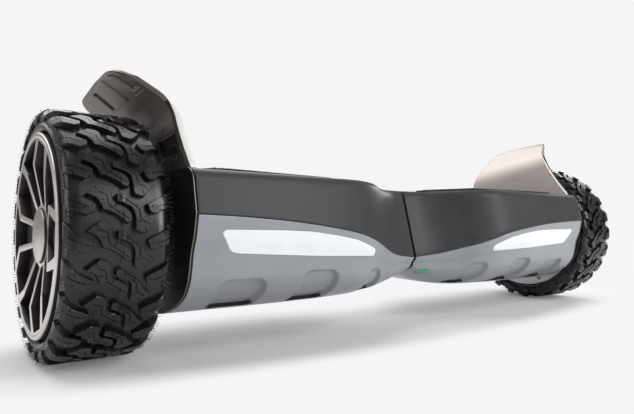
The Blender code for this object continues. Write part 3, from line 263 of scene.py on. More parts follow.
def spread(low, high, count):
    """Evenly spaced numbers with both ends."""
    return [low + (high - low) * i / count for i in range(count + 1)]


def deselect():
    if bpy.context.mode != "OBJECT":
        bpy.ops.object.mode_set(mode="OBJECT")
    bpy.ops.object.select_all(action="DESELECT")


def only(obj):
    deselect()
    obj.select_set(True)
    bpy.context.view_layer.objects.active = obj


def added(name):
    """Names what an operator has just added."""
    obj = bpy.context.active_object
    obj.name = name
    return obj


def edit(obj):
    """Opens a piece in edit mode, with every face selected."""
    only(obj)
    bpy.ops.object.mode_set(mode="EDIT")
    bpy.ops.mesh.select_mode(type="FACE")
    bpy.ops.mesh.select_all(action="SELECT")


def done():
    bpy.ops.object.mode_set(mode="OBJECT")


def pull_up(height):
    bpy.ops.mesh.extrude_region_move(TRANSFORM_OT_translate={"value": (0.0, 0.0, height)})


def slice_at(place, normal):
    bpy.ops.mesh.select_all(action="SELECT")
    bpy.ops.mesh.bisect(plane_co=place, plane_no=normal)


def apply_modifier(obj, kind, **values):
    only(obj)
    modifier = obj.modifiers.new(kind.lower(), kind)
    for key, value in values.items():
        setattr(modifier, key, value)
    bpy.ops.object.modifier_apply(modifier=modifier.name)
    return obj


def cut(obj, cutter, operation="DIFFERENCE"):
    apply_modifier(obj, "BOOLEAN", object=cutter, operation=operation, solver="EXACT")
    bpy.data.objects.remove(cutter)
    return obj


def soften(obj, width, segments, degrees):
    """Small bevel on the edges that are sharper than an angle."""
    return apply_modifier(obj, "BEVEL", width=width, segments=segments, limit_method="ANGLE",
                          angle_limit=math.radians(degrees))


def move_points(obj, rule):
    """Sends every point of a mesh through a rule from (x, y, z) to (x, y, z)."""
    for vertex in obj.data.vertices:
        vertex.co = rule(vertex.co.x, vertex.co.y, vertex.co.z)
    obj.data.update()
    return obj


def face_outwards(obj):
    edit(obj)
    bpy.ops.mesh.remove_doubles(threshold=1e-6)
    bpy.ops.mesh.delete_loose(use_verts=True, use_edges=True, use_faces=False)
    bpy.ops.mesh.select_all(action="SELECT")
    bpy.ops.mesh.normals_make_consistent(inside=False)
    done()
    return obj


def smooth(obj, degrees):
    only(obj)
    bpy.ops.object.shade_smooth_by_angle(angle=math.radians(degrees))
    return obj


def copy_of(obj, name):
    twin = obj.copy()
    twin.data = obj.data.copy()
    twin.name = name
    bpy.context.scene.collection.objects.link(twin)
    return twin


def flip(obj):
    edit(obj)
    bpy.ops.mesh.flip_normals()
    done()
    return obj


def mirrored(obj, name):
    """The same piece on the other side of the board."""
    twin = copy_of(obj, name)
    return flip(move_points(twin, lambda x, y, z: (-x, y, z)))


def join(pieces, name):
    only(pieces[0])
    for piece in pieces[1:]:
        piece.select_set(True)
    bpy.ops.object.join()
    pieces[0].name = name
    return pieces[0]


def chain(name, points):
    """A closed ring of edges from a circle whose corners are pulled to the points."""
    deselect()
    bpy.ops.mesh.primitive_circle_add(vertices=len(points), radius=0.01, fill_type="NOTHING")
    obj = added(name)
    for vertex, point in zip(obj.data.vertices, points):
        vertex.co = point
    return obj


def outline_face(name, points):
    """A flat face that looks up."""
    obj = chain(name, [(x, y, 0.0) for x, y in points])
    edit(obj)
    bpy.ops.mesh.edge_face_add()
    bpy.ops.mesh.normals_make_consistent(inside=False)
    done()
    return flip(obj) if obj.data.polygons[0].normal.z < 0 else obj


def slab(name, points, low, high):
    """A flat outline made a solid between two heights."""
    obj = outline_face(name, points)
    move_points(obj, lambda x, y, z: (x, y, low))
    edit(obj)
    pull_up(high - low)
    done()
    return face_outwards(obj)


def turned(name, profile, steps):
    """Spins a closed (along, radius) outline round Z, with along as the height."""
    obj = chain(name, [(r, 0.0, along) for along, r in profile])
    edit(obj)
    bpy.ops.mesh.select_mode(type="EDGE")
    bpy.ops.mesh.select_all(action="SELECT")
    bpy.ops.mesh.spin(steps=steps, angle=2 * math.pi, center=(0.0, 0.0, 0.0),
                      axis=(0.0, 0.0, 1.0))
    done()
    return face_outwards(obj)


def on_wheel(obj):
    """Stands a piece modelled round Z on the right wheel's axle, its top outwards."""
    return move_points(obj, lambda x, y, z: (z, x, AXLE_Z + y))


def ring_points(radius, count, centre=(0.0, 0.0)):
    step = 2 * math.pi / count
    return [(centre[0] + radius * math.cos(i * step), centre[1] + radius * math.sin(i * step))
            for i in range(count)]


def ribbon(points, width):
    """Outline of a strip of even width along a line of points."""
    left = []
    right = []
    for i, point in enumerate(points):
        before = Vector(points[max(i - 1, 0)])
        after = Vector(points[min(i + 1, len(points) - 1)])
        way = (after - before).normalized()
        side = Vector((-way.y, way.x)) * width / 2
        left.append(tuple(Vector(point) + side))
        right.append(tuple(Vector(point) - side))
    return left + right[::-1]


def finish(piece, finishes):
    """Gives a piece its materials; every face keeps its slot."""
    slots = [face.material_index for face in piece.data.polygons]
    piece.data.materials.clear()
    for name in finishes:
        piece.data.materials.append(MATS[name])
    for face, slot in zip(piece.data.polygons, slots):
        face.material_index = slot


def dress(piece, body, node, *finishes):
    """Rides on its body, stands for its node and takes its finishes."""
    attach(piece, body)
    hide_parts(node)
    finish(piece, finishes)


def pair(piece, name, body, node, *finishes):
    """A right piece and its mirror image, both dressed."""
    twin = mirrored(piece, "left_" + name)
    piece.name = "right_" + name
    dress(piece, "right_" + body, "right_" + node, *finishes)
    dress(twin, "left_" + body, "left_" + node, *finishes)


def tint(obj, index, rule):
    """Gives a material slot to the faces whose middle and normal pass a rule."""
    for face in obj.data.polygons:
        if rule(face.center, face.normal):
            face.material_index = index
    return obj


# Tyres: a turned carcass with four kinds of tread block, each modelled flat and then
# wrapped round the tyre
def wrap_profile(across):
    """Point (across, radius) on the tread surface and its outward normal."""
    sign = -1.0 if across < 0 else 1.0
    reach = abs(across) - CROWN_HALF
    if reach <= 0:
        return (across, TYRE_RADIUS - LINE_HEIGHT), (0.0, 1.0)
    quarter = math.pi / 4 * (SHOULDER_WIDTH + SHOULDER_HEIGHT)
    angle = min(reach / quarter, 1.0) * math.pi / 2
    x = CROWN_HALF + SHOULDER_WIDTH * math.sin(angle)
    r = TYRE_RADIUS - LINE_HEIGHT - SHOULDER_HEIGHT * (1 - math.cos(angle))
    if reach > quarter:
        r -= reach - quarter
    normal = Vector((math.sin(angle) * SHOULDER_HEIGHT, math.cos(angle) * SHOULDER_WIDTH))
    normal.normalize()
    return (sign * x, r), (sign * normal.x, normal.y)


def wrap(across, along, height):
    """From flat block space to the left wheel."""
    (x, r), (nx, nr) = wrap_profile(across)
    angle = FIRST_PITCH + along / TYRE_RADIUS
    r += nr * height
    return (-WHEEL_X + x + nx * height, r * math.cos(angle), AXLE_Z + r * math.sin(angle))


def tread_block(outline, sipes, ticks):
    """One block with drafted walls, a chamfered top, its sipes and the mould line."""
    corners = [(x * MM, y * MM) for x, y in outline]
    lug = outline_face("lug", corners)
    move_points(lug, lambda x, y, z: (x, y, -BLOCK_ROOT))
    edit(lug)
    pull_up(BLOCK_FOOT)
    bpy.ops.mesh.inset(thickness=BLOCK_DRAFT, depth=BLOCK_ROOT - BLOCK_FOOT - CHAMFER_HEIGHT)
    bpy.ops.mesh.inset(thickness=CHAMFER_WIDTH, depth=CHAMFER_HEIGHT)
    done()
    for sipe in sipes + ticks:
        line = [(x * MM, y * MM) for x, y in sipe]
        width = TICK_WIDTH if sipe in ticks else SIPE_WIDTH
        cut(lug, slab("sipe_cutter", ribbon(line, width), -SIPE_DEPTH, SIPE_CUTTER_TOP))
    xs, ys = zip(*corners)
    low = min(xs)
    high = max(xs)
    edit(lug)
    for i in range(1, BLOCK_SLICES):
        place = min(ys) + (max(ys) - min(ys)) * i / BLOCK_SLICES
        slice_at((0.0, place, 0.0), (0.0, 1.0, 0.0))
    places = [s * MM for s in range(-43, 44, 2) if abs(s) >= 27 and low < s * MM < high]
    if low < -0.0003 and high > 0.0003:
        places += [-0.0002, 0.0, 0.0002]
    for place in places:
        slice_at((place, 0.0, 0.0), (1.0, 0.0, 0.0))
    done()
    move_points(lug, lambda x, y, z: (x, y, LINE_HEIGHT)
                if abs(x) < 1e-6 and z > -1e-5 else (x, y, z))
    return face_outwards(lug)


def carcass():
    """Turned body of the tyre under the blocks, with its mould line."""
    rows = []
    for i in range(-22, 23):
        across = i * 2.0 * MM
        depth = mix(GROOVE_DEPTH, SIDE_GROOVE_DEPTH, rise(abs(across), *GROOVE_FADE))
        (x, r), (nx, nr) = wrap_profile(across)
        if i == 0:
            rows += [(-0.0002, r - depth), (0.0, r - depth + LINE_HEIGHT), (0.0002, r - depth)]
        else:
            rows.append((x - nx * depth, r - nr * depth))
    edge = rows[-1][0]
    wall = [(edge + 0.0006, rows[-1][1] - 0.0010), (edge + 0.0011, 0.0860),
            (edge + 0.0002, 0.0836), (edge - 0.0014, 0.0820), (edge - 0.0040, TYRE_BORE)]
    rows = [(-x, r) for x, r in reversed(wall)] + rows + wall
    tyre = turned("carcass", rows, 192)
    return move_points(tyre, lambda x, y, z: (-WHEEL_X + z, x, AXLE_Z + y))


def vent_hair(across, along, height):
    """Rubber hair left by a vent of the mould."""
    deselect()
    bpy.ops.mesh.primitive_cone_add(vertices=4, radius1=HAIR_RADII[0], radius2=HAIR_RADII[1],
                                    depth=height + HAIR_ROOT)
    middle = (height - HAIR_ROOT) / 2
    return move_points(added("hair"), lambda x, y, z: (x + across, y + along, z + middle))


def build_tyre():
    """Carcass with every pitch's blocks and its hairs, which lean this way and that."""
    pieces = [carcass()]
    blocks = [tread_block(OUTER_LUG, OUTER_LUG_SIPES, OUTER_LUG_TICKS),
              tread_block(INNER_LUG, INNER_LUG_SIPES, INNER_LUG_TICKS),
              tread_block(OUTER_BLOCK, OUTER_BLOCK_SIPES, OUTER_BLOCK_TICKS),
              tread_block(INNER_BLOCK, INNER_BLOCK_SIPES, INNER_BLOCK_TICKS)]
    hairs = [vent_hair(a * MM, b * MM, h * MM) for a, b, h in VENT_HAIRS]
    for k, flat in enumerate(blocks + hairs):
        for i in range(PITCHES):
            twin = copy_of(flat, "block_copy")
            lean = math.sin(i * 2.3 + k * 1.7) * HAIR_LEAN if k >= len(blocks) else 0.0
            move_points(twin, lambda x, y, z: wrap(x, y + i * PITCH + lean * z, z))
            pieces.append(twin)
        bpy.data.objects.remove(flat)
    return smooth(join(pieces, "left_tread_tyre"), 28.0)


# Wheel covers
def polar(radius, degrees):
    """Point (a, b) on a circle round the axle."""
    angle = math.radians(degrees)
    return (radius * math.cos(angle), radius * math.sin(angle))


def arc(radius, low, high, count):
    """Points on a circle round the axle between two angles in degrees."""
    step = (high - low) / (count - 1)
    return [polar(radius, low + step * i) for i in range(count)]


def spoke_edge(offset):
    """Corners of a spoke's edge as (radius, degrees from the middle of its pair)."""
    line = [Vector(polar(RIM_RADIUS - inset, degrees)) for inset, degrees, half in SPOKE_LINE]
    out = []
    for i, point in enumerate(line):
        way = (line[min(i + 1, len(line) - 1)] - line[max(i - 1, 0)]).normalized()
        moved = point + Vector((-way.y, way.x)) * SPOKE_LINE[i][2] * offset
        out.append((moved.length, math.degrees(math.atan2(moved.y, moved.x))))
    return out


def edge_at(edge, radius):
    """Degrees of a spoke's edge where it crosses a radius."""
    for (r0, a0), (r1, a1) in zip(edge, edge[1:]):
        if radius <= r1:
            return a0 + (a1 - a0) * max(radius - r0, 0.0) / (r1 - r0)
    return edge[-1][1]


def rounded(points, radius, steps=4):
    """Closed outline with each corner replaced by a small arc."""
    out = []
    count = len(points)
    for i in range(count):
        here = Vector(points[i])
        before = Vector(points[i - 1]) - here
        after = Vector(points[(i + 1) % count]) - here
        size = min(radius, before.length * 0.45, after.length * 0.45)
        a = here + before.normalized() * size
        b = here + after.normalized() * size
        for k in range(steps + 1):
            out.append(tuple(bend(a, here, b, k / steps)))
    return out


def pocket(middle, side, away):
    """Outline of a pocket: inside a pair of spokes (away 0), or between two pairs."""
    edge = spoke_edge(side)
    outer = RIM_RADIUS - OUTER_RING
    kink = edge[1][0]
    half = [edge_at(edge, radius) for radius in (HUB_RADIUS, kink, outer)]
    if away:
        half = [away - degrees for degrees in half]
    corners = arc(HUB_RADIUS, middle - half[0], middle + half[0], 2)
    corners.append(polar(kink, middle + half[1]))
    corners += arc(outer, middle + half[2], middle - half[2], 5 if away else 2)
    corners.append(polar(kink, middle - half[1]))
    return rounded(corners, 0.0016 if away else 0.0012)


def build_wheel_cover():
    """Disc with pairs of bent spokes that fall from a ridge to the sunk hub."""
    rim = RIM_RADIUS - FIT
    hub_x = COVER_X - HUB_FACE_DROP
    cover = turned("cover", [
        (COVER_BACK_X, HUB_BORE), (COVER_BACK_X, rim), (COVER_X - 0.0010, rim),
        (COVER_X - 0.0003, rim - 0.0003), (COVER_X, rim - 0.0010), (COVER_X, rim - 0.0030),
        (COVER_X - 0.0004, rim - 0.0033), (COVER_X - 0.0004, rim - 0.0037),
        (COVER_X, rim - 0.0040), (COVER_X, RIM_RADIUS - KINK_INSET), (hub_x, HUB_RADIUS),
        (hub_x, HUB_BORE)], 160)
    step = 180.0 / SPOKE_PAIRS
    level = COVER_X - 0.002
    cutters = []
    for i in range(2 * SPOKE_PAIRS):
        turn = 180.0 + i * step
        line = pocket(turn, -1.0, 0.0) if i % 2 == 0 else pocket(turn, 1.0, step)
        cutter = slab("pocket_cutter", line, COVER_BACK_X - 0.001, COVER_X + 0.001)
        cx, cy = polar(POCKET_MIDDLE, turn)
        move_points(cutter, lambda x, y, z: (mix(cx, x, POCKET_DRAFT), mix(cy, y, POCKET_DRAFT), z)
                    if z < level else (x, y, z))
        cutters.append(cutter)
    cut(cover, join(cutters, "pocket_cutters"))
    edit(cover)
    bpy.ops.mesh.dissolve_limited(angle_limit=math.radians(0.6))
    done()
    soften(cover, 0.0004, 2, 38.0)
    on_wheel(cover)
    face_outwards(cover)
    tint(cover, 1, lambda c, n: n.x < 0.35 or c.x < COVER_X - HUB_FACE_DROP - 0.0012)
    smooth(cover, 30.0)
    for face in cover.data.polygons:
        if face.normal.x > 0.999:
            face.use_smooth = False
    return cover


def build_hub_cap():
    """Flat metal cap in the middle of the wheel cover, with a rounded rim."""
    face = COVER_X - 0.0036
    back = face - 0.0040
    rim = CAP_RADIUS
    cap = on_wheel(turned("cap", [
        (back, 0.0), (back, rim), (face - 0.0006, rim), (face - 0.0002, rim - 0.0002),
        (face, rim - 0.0007), (face, 0.0)], 96))
    face_outwards(cap)
    tint(cap, 1, lambda c, n: n.x < 0.3)
    return smooth(cap, 30.0)


def build_motor_cover():
    """Cover on the body's side of the wheel, with stepped rings and two screw holes."""
    face = MOTOR_COVER_X
    rim = RIM_RADIUS
    cover = turned("motor_cover", [
        (face, SHAFT_BORE), (face + 0.0086, SHAFT_BORE), (face + 0.0086, 0.0215),
        (face + 0.0035, 0.0225), (face + 0.0035, rim - 0.0002), (face + 0.0008, rim),
        (face, rim - 0.0008), (face, 0.0672), (face + 0.0007, 0.0665), (face + 0.0007, 0.0560),
        (face + 0.0013, 0.0552), (face + 0.0013, 0.0300), (face + 0.0004, 0.0284),
        (face, 0.0276)], 144)
    for degrees in MOTOR_SCREW_DEGREES:
        hole = ring_points(MOTOR_SCREW_RADIUS, 24, polar(rim - MOTOR_SCREW_INSET, degrees))
        cut(cover, slab("hole_cutter", hole, face - 0.003, face + 0.006))
    soften(cover, 0.00025, 2, 38.0)
    on_wheel(cover)
    return smooth(face_outwards(cover), 30.0)


# The body's shape: the same lines as the built-in frame, drawn finer
def curve(value, knots, levels):
    """Smooth line through the knots, flat beyond both ends."""
    if value <= knots[0]:
        return levels[0]
    if value >= knots[-1]:
        return levels[-1]
    i = 0
    while value > knots[i + 1]:
        i += 1
    span = knots[i + 1] - knots[i]
    t = (value - knots[i]) / span
    slopes = []
    for k in (i, i + 1):
        low = max(k - 1, 0)
        high = min(k + 1, len(knots) - 1)
        slopes.append((levels[high] - levels[low]) / (knots[high] - knots[low]))
    a = (1 + 2 * t) * (1 - t) ** 2 * levels[i]
    b = t * (1 - t) ** 2 * span * slopes[0]
    c = t * t * (3 - 2 * t) * levels[i + 1]
    d = t * t * (t - 1) * span * slopes[1]
    return a + b + c + d


@lru_cache(maxsize=None)
def body_lines(x):
    """Half depth, seam height, half width of the top, deck and belly heights at a station."""
    lines = ((WAIST_HALF_DEPTH, END_HALF_DEPTH, DEPTH_LINE),
             (WAIST_SEAM_Z, END_SEAM_Z, SEAM_LINE), (WAIST_TOP_HALF, END_TOP_HALF, TOP_LINE),
             (WAIST_TOP_Z, DECK_Z, DECK_LINE), (WAIST_BELLY_Z, BELLY_Z, BELLY_LINE))
    share = rise(x, 0.0, BODY_END_X)
    return [mix(low, high, curve(share, STATIONS, line)) for low, high, line in lines]


def upper_point(x, t):
    """Front half of the upper cover: seam (0), side, corner, deck's middle (1)."""
    depth, seam, top_half, deck, belly = body_lines(x)
    base = Vector((-depth, seam + SEAM_GAP / 2))
    top = Vector((-top_half, deck))
    side = (top - base).normalized()
    start = top - side * UPPER_CORNER
    end = Vector((-top_half + UPPER_CORNER, deck))
    if t < 0.4:
        return base + (start - base) * t / 0.4
    if t < 0.6:
        return bend(start, top, end, (t - 0.4) / 0.2)
    return end * (1 - (t - 0.6) / 0.4) + Vector((0.0, deck)) * (t - 0.6) / 0.4


def lower_point(x, t):
    """Front half of the lower cover: seam (0), side, belly's middle (1)."""
    depth, seam, top_half, deck, belly = body_lines(x)
    height = seam - SEAM_GAP / 2 - belly
    y = curve(t, BELLY_KNOTS, [b[0] for b in BELLY]) * depth
    z = max(curve(t, BELLY_KNOTS, [b[1] for b in BELLY]), 0.0) * height
    return Vector((-y, belly + z))


@lru_cache(maxsize=None)
def belly_table(x):
    """Lengths along the lower cover's front half, and where the dishes start and end."""
    count = 120
    points = [lower_point(x, i / count) for i in range(count + 1)]
    lengths = [0.0]
    for a, b in zip(points, points[1:]):
        lengths.append(lengths[-1] + (b - a).length)
    rim = min(zip(DISH_CENTRES, DISH_TOPS), key=lambda dish: abs(x - dish[0]))[1]
    start = 0.0
    last = int(DISH_END * count)
    end = mix(lengths[last], lengths[last + 1], DISH_END * count - last)
    for i, (a, b) in enumerate(zip(points, points[1:])):
        if a.y > rim >= b.y:
            start = mix(lengths[i], lengths[i + 1], (a.y - rim) / (a.y - b.y))
    return lengths, start, end


def dish_field(x, t):
    """Share of a dish's depth (0 to 1) at a point, and the way left to its far end."""
    lengths, start, end = belly_table(x)
    place = t * (len(lengths) - 1)
    i = min(int(place), len(lengths) - 2)
    s = mix(lengths[i], lengths[i + 1], place - i)
    best = 0.0
    for centre, half, lean in zip(DISH_CENTRES, DISH_HALF_WIDTHS, DISH_LEANS):
        across = abs(x - centre + lean * rise(s, start, end)) - half + DISH_CORNER
        down = abs(s - (start + end) / 2) - (end - start) / 2 + DISH_CORNER
        outside = math.hypot(max(across, 0.0), max(down, 0.0))
        distance = outside + min(max(across, down), 0.0) - DISH_CORNER
        best = max(best, step_up(-distance, 0.0, DISH_SLOPE))
    return best, end - s


def cover_slot(x, t, share, inside, dished):
    """Slot of a cover's face: black painted shade on the end walls at the gaps and at the dish
    ends, a pale painted reflection beside a dish's end.
    """
    # The end walls at the middle gap and at the outer end take black painted shade
    if share < 1.0 or x < BODY_START_X + CENTRE_ROUND or x > SHELL_END_X - 0.0012:
        return 1
    if inside or not dished:
        return 0
    depth, left = dish_field(x, min(t, 2.0 - t))
    # The far end wall of each dish takes black painted shade
    if 0.03 < depth < 0.97 and left < DISH_CORNER:
        return 1
    # Beside a dish's end the dish floor takes a pale painted reflection
    return 2 if depth >= 0.97 and left < DISH_SLOPE + PAINTED_REFLECTION_WIDTH else 0


def along(point_of, x, t, depth):
    """Point of a profile moved inwards by a depth, for t over the whole width (0 to 2)."""
    half = t if t <= 1.0 else 2.0 - t
    low = max(half - 0.004, 0.0)
    high = min(half + 0.004, 1.0)
    point = point_of(x, half)
    way = point_of(x, high) - point_of(x, low) if half < 1.0 else Vector((1.0, 0.0))
    way.normalize()
    inwards = Vector((-way.y, way.x))
    if inwards.dot(Vector((0.0, body_lines(x)[1])) - point) < 0:
        inwards = -inwards
    point = point + inwards * depth
    if t > 1.0:
        point.x = -point.x
    return point


def grid_sheet(name, columns, rows, rule, slot=None):
    """A grid whose points are sent through a rule of their column and row; slot picks slots."""
    wide = len(columns) - 1
    deep = len(rows) - 1
    deselect()
    bpy.ops.mesh.primitive_grid_add(x_subdivisions=wide, y_subdivisions=deep, size=1.0)
    sheet = added(name)
    places = []
    for vertex in sheet.data.vertices:
        i = round((vertex.co.x + 0.5) * wide)
        j = round((vertex.co.y + 0.5) * deep)
        places.append((i, j))
        vertex.co = rule(columns[i], rows[j])
    for face in sheet.data.polygons if slot else ():
        i, j = (min(places[v][k] for v in face.vertices) for k in (0, 1))
        column = [(a + b) / 2 for a, b in zip(columns[i], columns[i + 1])]
        row = [(a + b) / 2 for a, b in zip(rows[j], rows[j + 1])]
        face.material_index = slot(column, row)
    return face_outwards(sheet)


def round_in(x, radius, way, angles):
    """Columns of a shell that round its edge at x."""
    return [(x + way * radius * (1 - math.cos(a)), radius * (1 - math.sin(a)), 1.0)
            for a in angles]


def shell(name, point_of, outer, inner, stations, dished):
    """Closed tray with end walls, a lip along the seam and an inner skin."""
    quarter = spread(0.0, math.pi / 2, 4)
    columns = [(BODY_START_X, 0.0, 0.0), (BODY_START_X, 0.0, 0.5)]
    columns += round_in(BODY_START_X, CENTRE_ROUND, 1, quarter)
    columns += [(x, 0.0, 1.0) for x in stations]
    columns += round_in(SHELL_END_X, OUTER_ROUND, -1, quarter[::-1])
    columns += [(SHELL_END_X, 0.0, 0.5), (SHELL_END_X, 0.0, 0.0)]
    rows = [(t, False) for t in both_sides(outer)]
    rows += [(t, True) for t in reversed(both_sides(inner))]
    rows.append(rows[0])
    lip = point_of(0.1, 0.0).y - body_lines(0.1)[1]

    def rule(column, row):
        x, inset, share = column
        t, inside = row
        edge = t in (0.0, 2.0)
        seam = body_lines(x)[1] + lip
        if inside:
            depth = WALL
            here = min(max(x, BODY_START_X + WALL), SHELL_END_X - WALL)
        else:
            depth = inset + (SEAM_CHAMFER if edge else 0.0)
            here = x
        if dished and 0.0 < t < 2.0:
            depth += dish_field(x, min(t, 2.0 - t))[0] * DISH_DEPTH
        point = along(point_of, here, t, depth)
        if edge:
            point.y = seam
        return (here, point.x * share, seam + (point.y - seam) * share)

    def slot(column, row):
        return cover_slot(column[0], row[0], column[2], row[1], dished)

    return smooth(grid_sheet(name, columns, rows, rule, slot), 30.0)


def both_sides(ts):
    """Row places over the whole width from the places of the front half."""
    return ts + [2.0 - t for t in reversed(ts) if t < 1.0]


def rod(low, high, radius):
    """Solid round bar along the axle's line."""
    a = Vector((low, 0.0, AXLE_Z))
    b = Vector((high, 0.0, AXLE_Z))
    deselect()
    bpy.ops.mesh.primitive_cylinder_add(vertices=48, radius=radius, depth=(b - a).length)
    turn = (b - a).to_track_quat("Z", "Y").to_matrix()
    middle = (a + b) / 2
    return move_points(added("rod"), lambda x, y, z: tuple(turn @ Vector((x, y, z)) + middle))


def block(low, high):
    """Solid box between two corners."""
    deselect()
    bpy.ops.mesh.primitive_cube_add(size=1.0)
    return move_points(added("block"), lambda x, y, z: tuple(
        mix(a, b, v + 0.5) for a, b, v in zip(low, high, (x, y, z))))


def through_front(name, outline, near=0.060):
    """Cutter through the front wall from an (x, z) outline."""
    cutter = slab(name, outline, near, 0.120)
    move_points(cutter, lambda x, y, z: (x, -z, y))
    return face_outwards(cutter)


def shrink(outline, distance):
    """Moves each point of an outline towards its inner side."""
    area = sum(a[0] * b[1] - b[0] * a[1] for a, b in zip(outline, outline[1:] + outline[:1]))
    sign = 1.0 if area > 0 else -1.0
    out = []
    count = len(outline)
    for i in range(count):
        way = (Vector(outline[(i + 1) % count]) - Vector(outline[i - 1])).normalized()
        inwards = Vector((-way.y, way.x)) * sign
        out.append(tuple(Vector(outline[i]) + inwards * distance))
    return out


def pad_half(x):
    """Half width of the foot pad at a distance from the board's middle."""
    share = (x - PAD_INNER_X) / (PAD_OUTER_X - PAD_INNER_X)
    return mix(PAD_HALF_INNER, PAD_HALF_OUTER, share)


def build_lower_cover(window):
    """Right lower cover with its dishes, its window and the room for the axle."""
    side = [0.0, 0.006] + spread(0.035, 0.36, 9) + spread(0.37, 0.72, 38)
    side += spread(0.725, 0.86, 30) + spread(0.89, 1.0, 3)
    inner = [0.0] + spread(0.04, 0.96, 16) + [1.0]
    stations = spread(0.0045, 0.0420, 10) + spread(0.0433, 0.2690, 170) + [0.2730, 0.2780, 0.2830]
    cover = shell("lower_cover", lower_point, side, inner, stations, True)
    cut(cover, through_front("window_cutter", window))
    near = BODY_END_X - 0.006
    far = BODY_END_X + 0.01
    cut(cover, rod(near, far, AXLE_CLEARANCE))
    cut(cover, block((near, -AXLE_CLEARANCE, AXLE_Z), (far, AXLE_CLEARANCE, AXLE_Z + 0.030)))
    return cover


def boss_outline(gap):
    """Outline of the foot pad's boss, or of its hole in the deck with a gap."""
    near = PAD_INNER_X + PAD_BOSS_INSET - gap
    far = PAD_OUTER_X - PAD_BOSS_INSET + gap
    a = pad_half(near) - PAD_BOSS_INSET + gap
    b = pad_half(far) - PAD_BOSS_INSET + gap
    return [(near, -a), (far, -b), (far, b), (near, a)]


def build_upper_cover():
    """Right upper cover with the room for the tube and for the foot pad's boss."""
    side = [0.0, 0.012] + spread(0.05, 0.385, 7) + spread(0.40, 0.60, 10) + spread(0.64, 1.0, 5)
    inner = [0.0] + spread(0.06, 0.36, 4) + spread(0.42, 0.62, 5) + spread(0.70, 1.0, 4)
    stations = spread(0.0035, 0.150, 66) + spread(0.156, 0.2830, 20)
    cover = shell("upper_cover", upper_point, side, inner, stations, False)
    cut(cover, rod(-0.001, 0.0045, TUBE_CLEARANCE))
    cut(cover, block((-0.001, -TUBE_CLEARANCE, AXLE_Z - 0.040), (0.0045, TUBE_CLEARANCE, AXLE_Z)))
    hole = rounded(boss_outline(FIT + 0.0002), 0.0015)
    return cut(cover, slab("pad_cutter", hole, DECK_Z - 0.006, DECK_Z + 0.004))


def wall_patch(name, x_low, x_high, t_low, t_high, count, rows, bulge):
    """Closed piece of the lower cover's front wall, cut to its outline afterwards."""
    columns = [(x_low, 1.0)] + [(x, 0.0) for x in spread(x_low, x_high, count)] + [(x_high, 1.0)]
    ts = spread(t_low, t_high, rows)
    places = [(t, 0.0) for t in ts] + [(t, 1.0) for t in reversed(ts)]
    places.append(places[0])

    def rule(column, row):
        x, pinch = column
        t, back = row
        point = along(lower_point, x, t, mix(back, 0.5, pinch) * WALL - bulge)
        return (x, point.x, point.y)

    return grid_sheet(name, columns, places, rule)


def build_lens(window):
    """Opal lens that fills the window, flush with the cover's wall."""
    low = min(x for x, z in window) - 0.009
    high = max(x for x, z in window) + 0.010
    lens = wall_patch("lens", low, high, 0.02, 0.62, 96, 40, 0.0)
    cut(lens, through_front("lens_cutter", shrink(window, FIT)), "INTERSECT")
    soften(lens, 0.0004, 2, 50.0)
    return smooth(face_outwards(lens), 35.0)


# Fenders: a folded skin with a plastic liner behind it
def fender_point(v, s):
    """Middle surface: s 0 to 1 up the wall, 1 to 2 round the bend, 2 to 3 out to the tip."""
    front = -0.052 * step_up(s, 0.3, 1.8)
    rear = 1.0 - 0.03 * step_up(s, 0.0, 0.6) - 0.05 * step_up(s, 1.3, 2.6)
    u = mix(front, rear, v)
    base = Vector((FENDER_X, FENDER_BASE_HALF * (2 * u - 1), DECK_Z))
    fold = mix(Vector((FENDER_X, *FENDER_BEND_FRONT)), Vector((FENDER_X, *FENDER_BEND_BACK)), u)
    tip_x = FENDER_X + FENDER_REACH
    tip = mix(Vector((tip_x, *FENDER_TIP_FRONT)), Vector((tip_x, *FENDER_TIP_BACK)), u)
    lower = fold + (base - fold).normalized() * FENDER_BEND_RADIUS
    upper = fold + (tip - fold).normalized() * FENDER_BEND_RADIUS
    if s <= 1.0:
        return mix(base, lower, s)
    if s <= 2.0:
        return bend(lower, fold, upper, s - 1.0)
    edge = max(0.0, 1.0 - min(v, 1 - v) / 0.14)
    reach = (tip - upper) * FENDER_EXTRA
    reach -= reach.normalized() * FENDER_CORNER * (1 - math.sqrt(1 - edge * edge))
    return upper + reach * (s - 2.0)


def fender_place(u, s, depth):
    """Point at a depth from the middle surface, positive towards the wheel."""
    a = fender_point(min(u + 0.01, 1.0), s) - fender_point(max(u - 0.01, 0.0), s)
    b = fender_point(u, min(s + 0.02, 3.0)) - fender_point(u, max(s - 0.02, 0.0))
    normal = a.cross(b).normalized()
    if normal.x < 0:
        normal = -normal
    if s <= 0.001:
        normal = Vector((1.0, 0.0, 0.0))
    point = fender_point(u, s) + normal * depth
    if point.z > FENDER_CEILING:
        point.z = FENDER_CEILING + (point.z - FENDER_CEILING) * FENDER_SQUASH
    return point


